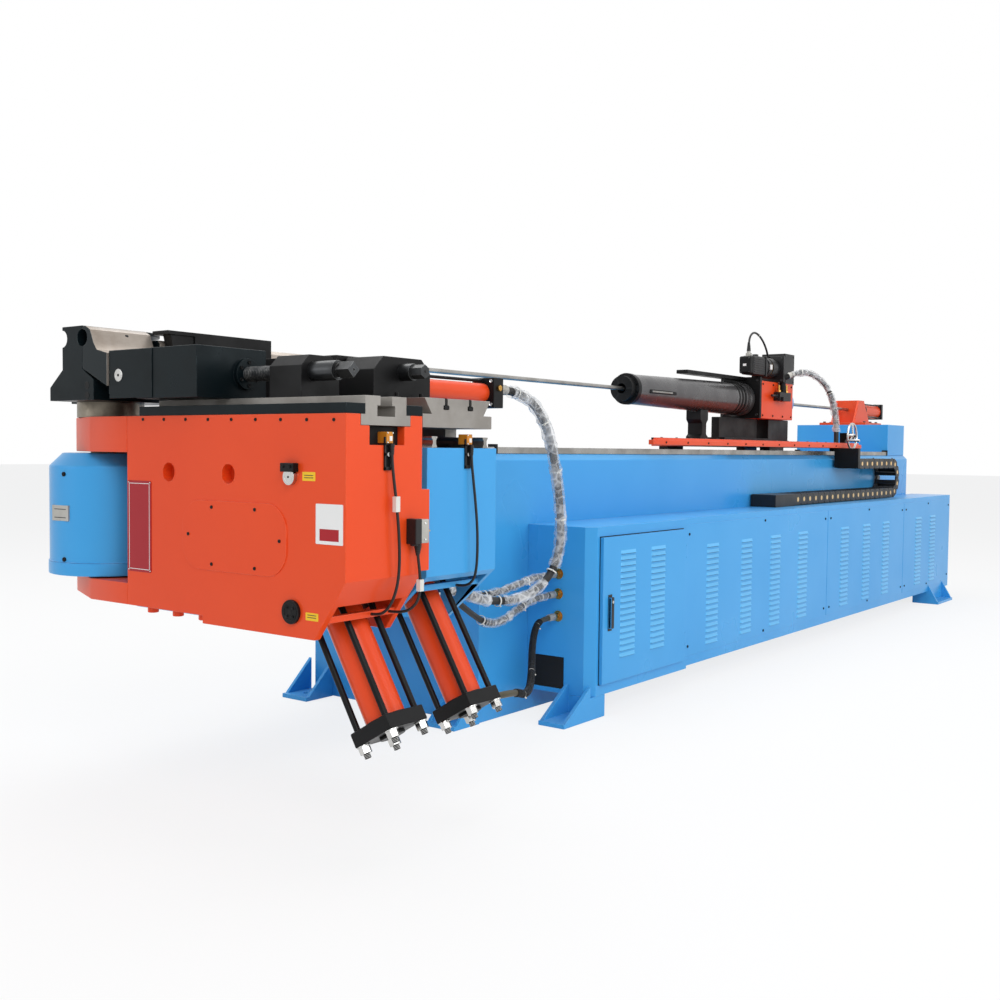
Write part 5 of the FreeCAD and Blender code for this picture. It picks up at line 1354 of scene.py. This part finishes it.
boosterCylinder()
mandrelCylinder()
print("cylinders ready")


# Cabinets
louvre = {"height": 17.0, "depth": 9.0, "end": 9.0, "slotShadow": 3.0}
cabinets = {
    "door": -782.5, "side": -732.5, "rows": 18, "bottom": 196,
    "panels": (
        (706, ((3030, 141), (3450, 141), (3842, 146), (4255, 150))),
        (700, ((4968, 150), (5388, 146), (5794, 144))),
        (700, ((6556, 150), (6921, 150))),
    ),
    "joints": (2714, 4664, 6197, 7390), "middles": (3689, 5430, 6793),
    "doorway": (1850.0, 2637.0, 147.0, 815.0),
}


# One pressed louvre: a hood that opens downwards
def louvreShape(width):
    shape = bmesh.new()
    bmesh.ops.create_cube(shape, size=1.0)
    bmesh.ops.scale(shape, vec=(width, louvre["depth"], louvre["height"]), verts=shape.verts[:])
    moveBy(shape, (0, -louvre["depth"] / 2, louvre["height"] / 2))
    for vertex in shape.verts:
        if vertex.co.y < -0.1:
            vertex.co.x *= (width / 2 - louvre["end"]) / (width / 2)
            if vertex.co.z > 1:
                vertex.co.y *= 0.25
                vertex.co.z -= 4.0
    # the hood's underside takes the dark gap colour as painted shade, its other faces the lighter
    # louvre paint as a painted highlight
    for face in shape.faces:
        face.material_index = 1 if face.normal.z < -0.9 else 4
    front = [e for e in shape.edges if all(v.co.y < -0.5 for v in e.verts)]
    soften(shape, front, 1.4)
    # the strip below the hood: the slot of the opening, coloured dark blue as painted shadow cast
    # by the hood
    made = bmesh.ops.create_cube(shape, size=1.0)
    bmesh.ops.scale(shape, vec=(width - 6, 1.6, louvre["slotShadow"]), verts=made["verts"])
    moveBy(shape, (0, 0, -louvre["slotShadow"] / 2), made["verts"])
    for face in {face for vertex in made["verts"] for face in vertex.link_faces}:
        face.material_index = 3
    return shape


def addLouvres(target, columns, plane, top, bottom):
    rows = cabinets["rows"]
    carrier = bpy.data.meshes.new("carrier")
    for middle, width in columns:
        shape = louvreShape(width)
        shape.to_mesh(carrier)
        shape.free()
        for row in range(rows):
            z = top + (bottom - top) * row / (rows - 1)
            copy = bmesh.new()
            copy.from_mesh(carrier)
            moveBy(copy, (middle, plane, z - louvre["height"] / 2))
            moved = bpy.data.meshes.new("moved")
            copy.to_mesh(moved)
            copy.free()
            target.from_mesh(moved)
            bpy.data.meshes.remove(moved)
    bpy.data.meshes.remove(carrier)


def doorPiece():
    target = bmesh.new()
    addShape(target, roundedNode("cabinet_door", 2.0), 0)
    addLouvres(target, ((2070, 137), (2352, 138)), cabinets["door"], 738, 266)
    addBox(target, 2, (1896, -785, 388), (1928, -782.5, 552), 0.8)
    addBox(target, 2, (1899, -800, 399), (1925, -783, 541), 4.0, 3)
    addRod(target, 5, (1912, -799, 520), (1912, -801.5, 520), 7, 20, edge=0.5)
    finishPiece(
        target, "cabinetDoor",
        [bluePaint, darkGap, blackPlastic, louvreShade, louvreHighlightPaint, polishedSteel], "door",
        ["cabinet_door"])


def cabinetTrim():
    target = bmesh.new()
    joints = cabinets["joints"]
    for top, columns in cabinets["panels"]:
        addLouvres(target, columns, cabinets["side"], top, cabinets["bottom"])
    for x in joints:
        for side in (-1, 1):
            if joints[0] < x + side * 46 < joints[-1]:
                for z in (776, 200):
                    addBolt(target, 2, (x + side * 46, -732.8, z), (0, -1, 0), 7, 4)
    for x in cabinets["middles"]:
        for z in (806, 170):
            addBolt(target, 2, (x, -732.8, z), (0, -1, 0), 7, 4)
    # dark seal round the doorway
    for x0, x1, z0, z1 in strips(*cabinets["doorway"], 8):
        addBox(target, 1, (x0, -765.0, z0), (x1, -763.5, z1), 0.0)
    finishPiece(
        target, "cabinetTrim", [bluePaint, darkGap, blackSteel, louvreShade, louvreHighlightPaint], "frame")


doorPiece()
cabinetTrim()


# Cable chain
chain = {
    "near": -589.0, "far": -425.0, "bottom": 861.0, "top": 1158.0, "height": 74.0, "bendX": 6366.0,
    "lowerFrom": 4465.0, "upperFrom": 5630.0, "lowerLinks": 19, "upperLinks": 7, "turnLinks": 4,
}


def chainLink(target, middle, turn, length):
    place = Matrix.Translation(middle) @ Matrix.Rotation(turn, 4, "Y")
    half = chain["height"] / 2 - 1
    width = (chain["far"] - chain["near"]) / 2
    for side in (-1, 1):
        y0, y1 = sorted((side * width, side * (width - 9)))
        addPlate(
            target, 0, corners(1 - length / 2, length / 2 - 1, -half, half), "y", y0, y1, 16.0, 1.2,
            4, place=place)
        y0, y1 = sorted((side * (width - 5), side * (width - 14)))
        addBox(
            target, 0, (length / 2 - 22, y0, -half + 8), (length / 2 + 20, y1, half - 8), 1.0, 1,
            place=place)
        addRod(
            target, 1, (0, side * (width - 1), 0), (0, side * (width + 0.8), 0), 15, 16,
            place=place)
    for z in (-half + 4, half - 4):
        addBox(target, 0, (-14, -width + 6, z - 4), (14, width - 6, z + 4), 1.0, 1, place=place)


def makeChain():
    target = bmesh.new()
    mid = (chain["near"] + chain["far"]) / 2
    low = chain["bottom"] + chain["height"] / 2
    high = chain["top"] - chain["height"] / 2
    for start, height, count in (
        (chain["lowerFrom"], low, chain["lowerLinks"]),
        (chain["upperFrom"], high, chain["upperLinks"]),
    ):
        step = (chain["bendX"] - start) / count
        for i in range(count):
            chainLink(target, (start + step * (i + 0.5), mid, height), 0.0, step)
    radius = (high - low) / 2
    turns = chain["turnLinks"]
    for i in range(turns):
        a = math.radians(-90 + 180 * (i + 0.5) / turns)
        x = chain["bendX"] + radius * math.cos(a)
        z = (low + high) / 2 + radius * math.sin(a)
        chainLink(target, (x, mid, z), -(a + math.pi / 2), math.pi * radius / turns)
    # foot box at the fixed end
    addBox(target, 0, (4165, chain["near"], 858), (4470, chain["far"], 935), 3.0)
    addBox(target, 0, (5618, chain["near"] + 4, 1086), (5650, chain["far"] - 4, 1156), 2.0)
    # cables laid inside the chain
    for y, radius in ((mid - 45, 16), (mid, 20), (mid + 42, 14)):
        for x, z in ((4440, low - 8), (chain["upperFrom"], high - 8)):
            addRod(target, 2, (x, y, z), (chain["bendX"], y, z), radius, 12)
    finishPiece(
        target, "cableChain", [blackPlastic, paleDot, blackRubber], "frame",
        ["energy_chain"])


makeChain()
print("cabinets and chain ready")


# Chuck and carriage
def chuckTrim():
    target = bmesh.new()
    z = pipeHeight
    # keyway along the tube with its steel key
    addBox(target, 1, (3471, -94.5, z - 22), (3793, -84, z + 2), 4.0, 3)
    addBox(target, 2, (3490, -97, z - 15), (3738, -88, z - 5), 2.0)
    # stepped rings before the collar
    for x, radius in ((4660, 111), (4704, 113), (4748, 115)):
        addRing(target, 0, (x, 0, z), (1, 0, 0), 104, radius, 20, 72, 1.5)
    addRing(target, 0, (4800, 0, z), (1, 0, 0), 110, 119.5, 8, 72, 1.5)
    for y, boltHeight in roundTheClock(8, 22.5, (0, z), 83):
        addBolt(target, 0, (3336, y, boltHeight), (-1, 0, 0), 5, 4)
    # jaw gaps across the collet's face
    for turn in range(3):
        a = math.radians(180 + 120 * turn)
        place = Matrix.Translation((3289.6, 0, z)) @ Matrix.Rotation(a, 4, "X")
        addBox(target, 1, (-0.4, 30, -5), (1.5, 73, 5), 0.3, place=place)
    addRing(target, 0, (3289.8, 0, z), (1, 0, 0), 30, 34, 1.2, 40, 0.3)
    # notch in the ring on the near side
    addBox(target, 1, (3337, -93, z - 16), (3352, -60, z + 16), 1.5)
    finishPiece(target, "chuckTrim", [blackSteel, darkGap, railSteel], "chuck")


servo = {"axis": (-100, 1785), "valveRow": -165}


def servoDrive():
    target = bmesh.new()
    axis, row = servo["axis"], servo["valveRow"]
    # encoder cap, finned body and flange of the motor
    addBox(target, 1, (4700, -158, 1727), (4748, -74, 1843), 12.0, 4)
    addBox(target, 0, (4744, -162, 1723), (4936, -70, 1847), 9.0, 3)
    for i in range(7):
        z = 1738 + i * 15
        addBox(target, 0, (4756, row, z), (4924, -161, z + 6), 0.8, 1)
    for i in range(5):
        y = -152 + i * 16
        addBox(target, 0, (4756, y, 1846), (4924, y + 6, 1850), 0.8, 1)
    addBox(target, 0, (4934, -168, 1717), (4952, -60, 1853), 3.0, 2)
    addBox(target, 4, (4699, -128, 1776), (4700.6, -104, 1792), 0.2)
    for y in (-147, -85):
        for z in (1738, 1832):
            addBolt(target, 2, (4700.5, y, z), (-1, 0, 0), 4, 3)
    # cable gland and power plug on top
    addBox(target, 3, (4744, -132, 1845), (4778, -100, 1868), 3.0, 2)
    addRod(target, 3, (4760, -116, 1864), (4760, -116, 1880), 13, 8, edge=1.0)
    addBox(target, 0, (4850, -132, 1845), (4884, -100, 1866), 3.0, 2)
    # reducer in steps with a bright ring
    for x0, x1, radius, finish in (
        (4950, 4990, 66, 0), (4990, 5036, 72, 0), (5036, 5052, 68, 5), (5052, 5128, 72, 0),
        (5128, 5181, 64, 0),
    ):
        addRod(target, finish, (x0, *axis), (x1, *axis), radius, 56, edge=2.0)
    for y, z in roundTheClock(8, 0, axis, 62):
        addBolt(target, 2, (4990.5, y, z), (-1, 0, 0), 4, 3)
    addBox(target, 4, (4990, -176, 1768), (5020, -168, 1802), 1.0)
    # adapter plate, tie bar and rear box
    addBox(target, 0, (5180, -190, 1690), (5204, 50, 1875), 3.0)
    addBox(target, 0, (5180, -90, 1855), (5392, 70, 1875), 2.0)
    addBox(target, 0, (5390, -110, 1690), (5560, 70, 1910), 4.0)
    for y in (-175, 35):
        for z in (1705, 1860):
            addBolt(target, 2, (5180.5, y, z), (-1, 0, 0), 7, 6)
    for x in (5406, 5544):
        for z in (1710, 1892):
            addBolt(target, 2, (x, -109.5, z), (0, -1, 0), 5, 3)
    # valve block with its fittings and the hose elbow
    addBox(target, 0, (5130, -190, 1560), (5320, -140, 1620), 3.0)
    addRod(target, 6, (5225, row, 1618), (5225, row, 1722), 22, 28, edge=1.0)
    addRod(target, 6, (5225, row, 1618), (5225, row, 1640), 27, 6, edge=1.5)
    elbow = bmesh.new()
    bmesh.ops.create_uvsphere(elbow, u_segments=24, v_segments=16, radius=22)
    moveBy(elbow, (5225, row, 1722))
    addShape(target, elbow, 6)
    addRod(target, 6, (5225, row, 1722), (5260.2, -190, 1737.9), 22, 28, edge=1.0)
    for x, length in ((5160, 34), (5290, 40)):
        addRod(target, 5, (x, row, 1618), (x, row, 1634), 14, 6, edge=1.0)
        addRod(target, 5, (x, row, 1634), (x, row, 1634 + length), 9, 20, edge=0.8)
    addRod(target, 2, (5132, row, 1592), (5112, row, 1592), 15, 6, edge=1.0)
    addRod(target, 2, (5112, row, 1592), (5044, row, 1592), 9, 20, edge=1.0)
    addBox(target, 0, (5150, -206, 1556), (5230, -188, 1586), 2.0)
    finishPiece(
        target, "servoDrive",
        [blackPlastic, blackSteel, oiledSteel, greyAlloy, whiteEnamel, brassMetal, blackSteel],
        "carriage", ["servo_drive"])


def carriageTrim():
    target = bmesh.new()
    # black strip along the plate's near edge with its screws
    addBox(target, 0, (2905, -452, 1256), (5980, -420, 1270.4), 1.0)
    for i in range(18):
        x = 2990 + i * 170
        addBolt(target, 1, (x, -436, 1270), (0, 0, 1), 7, 4)
    for i in range(12):
        x = 3000 + i * 250
        addBolt(target, 0, (x, -459.6, 1245), (0, -1, 0), 6, 3.5)
    # gearbox cover screws and rear flange
    for x in (4948, 5120, 5290, 5438):
        for z in (1452, 1668):
            addBolt(target, 0, (x, -139.6, z), (0, -1, 0), 7, 5)
    addRing(target, 0, (5484, 0, pipeHeight), (1, 0, 0), 66, 124, 28, 72, 3.0)
    addRod(target, 2, (5498, 0, pipeHeight), (5600, 0, pipeHeight), 122, 64, 96, 3.0)
    # bolts on the chuck base sole and the yoke
    for x in (4560, 4720, 4880, 5040, 5260, 5420, 5520):
        for y in (-58, 58):
            addBolt(target, 1, (x, y, 1281.5), (0, 0, 1), 9, 9)
    for y in (-128, 128):
        for z in (1455, 1690):
            addBolt(target, 1, (4885.5, y, z), (-1, 0, 0), 9, 8)
    finishPiece(
        target, "carriageTrim", [blackSteel, oiledSteel, bluePaint], "carriage")


chuckTrim()
servoDrive()
carriageTrim()
print("carriage ready")


# Small parts on the bed
def bedTrim():
    target = bmesh.new()
    # rail screws and end stops
    for y in (-370, 370):
        for i in range(35):
            addRod(target, 0, (1620 + i * 150, y, 1208.4), (1620 + i * 150, y, 1209.3), 6.5, 12)
        for x in (1566, 6810):
            addBox(target, 1, (x, y - 22, 1180), (x + 18, y + 22, 1222), 2.0)
    # levelling screws on the feet
    for y in (-340.5, 557.5):
        addRod(target, 2, (1390, y, 19), (1390, y, 34), 14, 6, edge=1.5)
    # duct liner
    addBox(target, 3, (1792, -616, 123), (1796, -447, 263), 0.0)
    # hex collars on the bulkhead fittings
    for z in (642, 551, 450):
        addRod(target, 4, (1791, -585, z), (1776, -585, z), 21, 6, edge=1.5)
        addRing(target, 4, (1790, -585, z), (1, 0, 0), 13, 25, 2.5, 36, 0.6)
    # bolts at the mandrel bracket's foot
    for x in (6900, 7040, 7180):
        for y in (-170, 170):
            addBolt(target, 2, (x, y, 1449.5), (0, 0, 1), 11, 11)
    finishPiece(
        target, "bedTrim", [darkGap, blackSteel, oiledSteel, darkGap, brassMetal], "frame")


bedTrim()
print("bed ready")
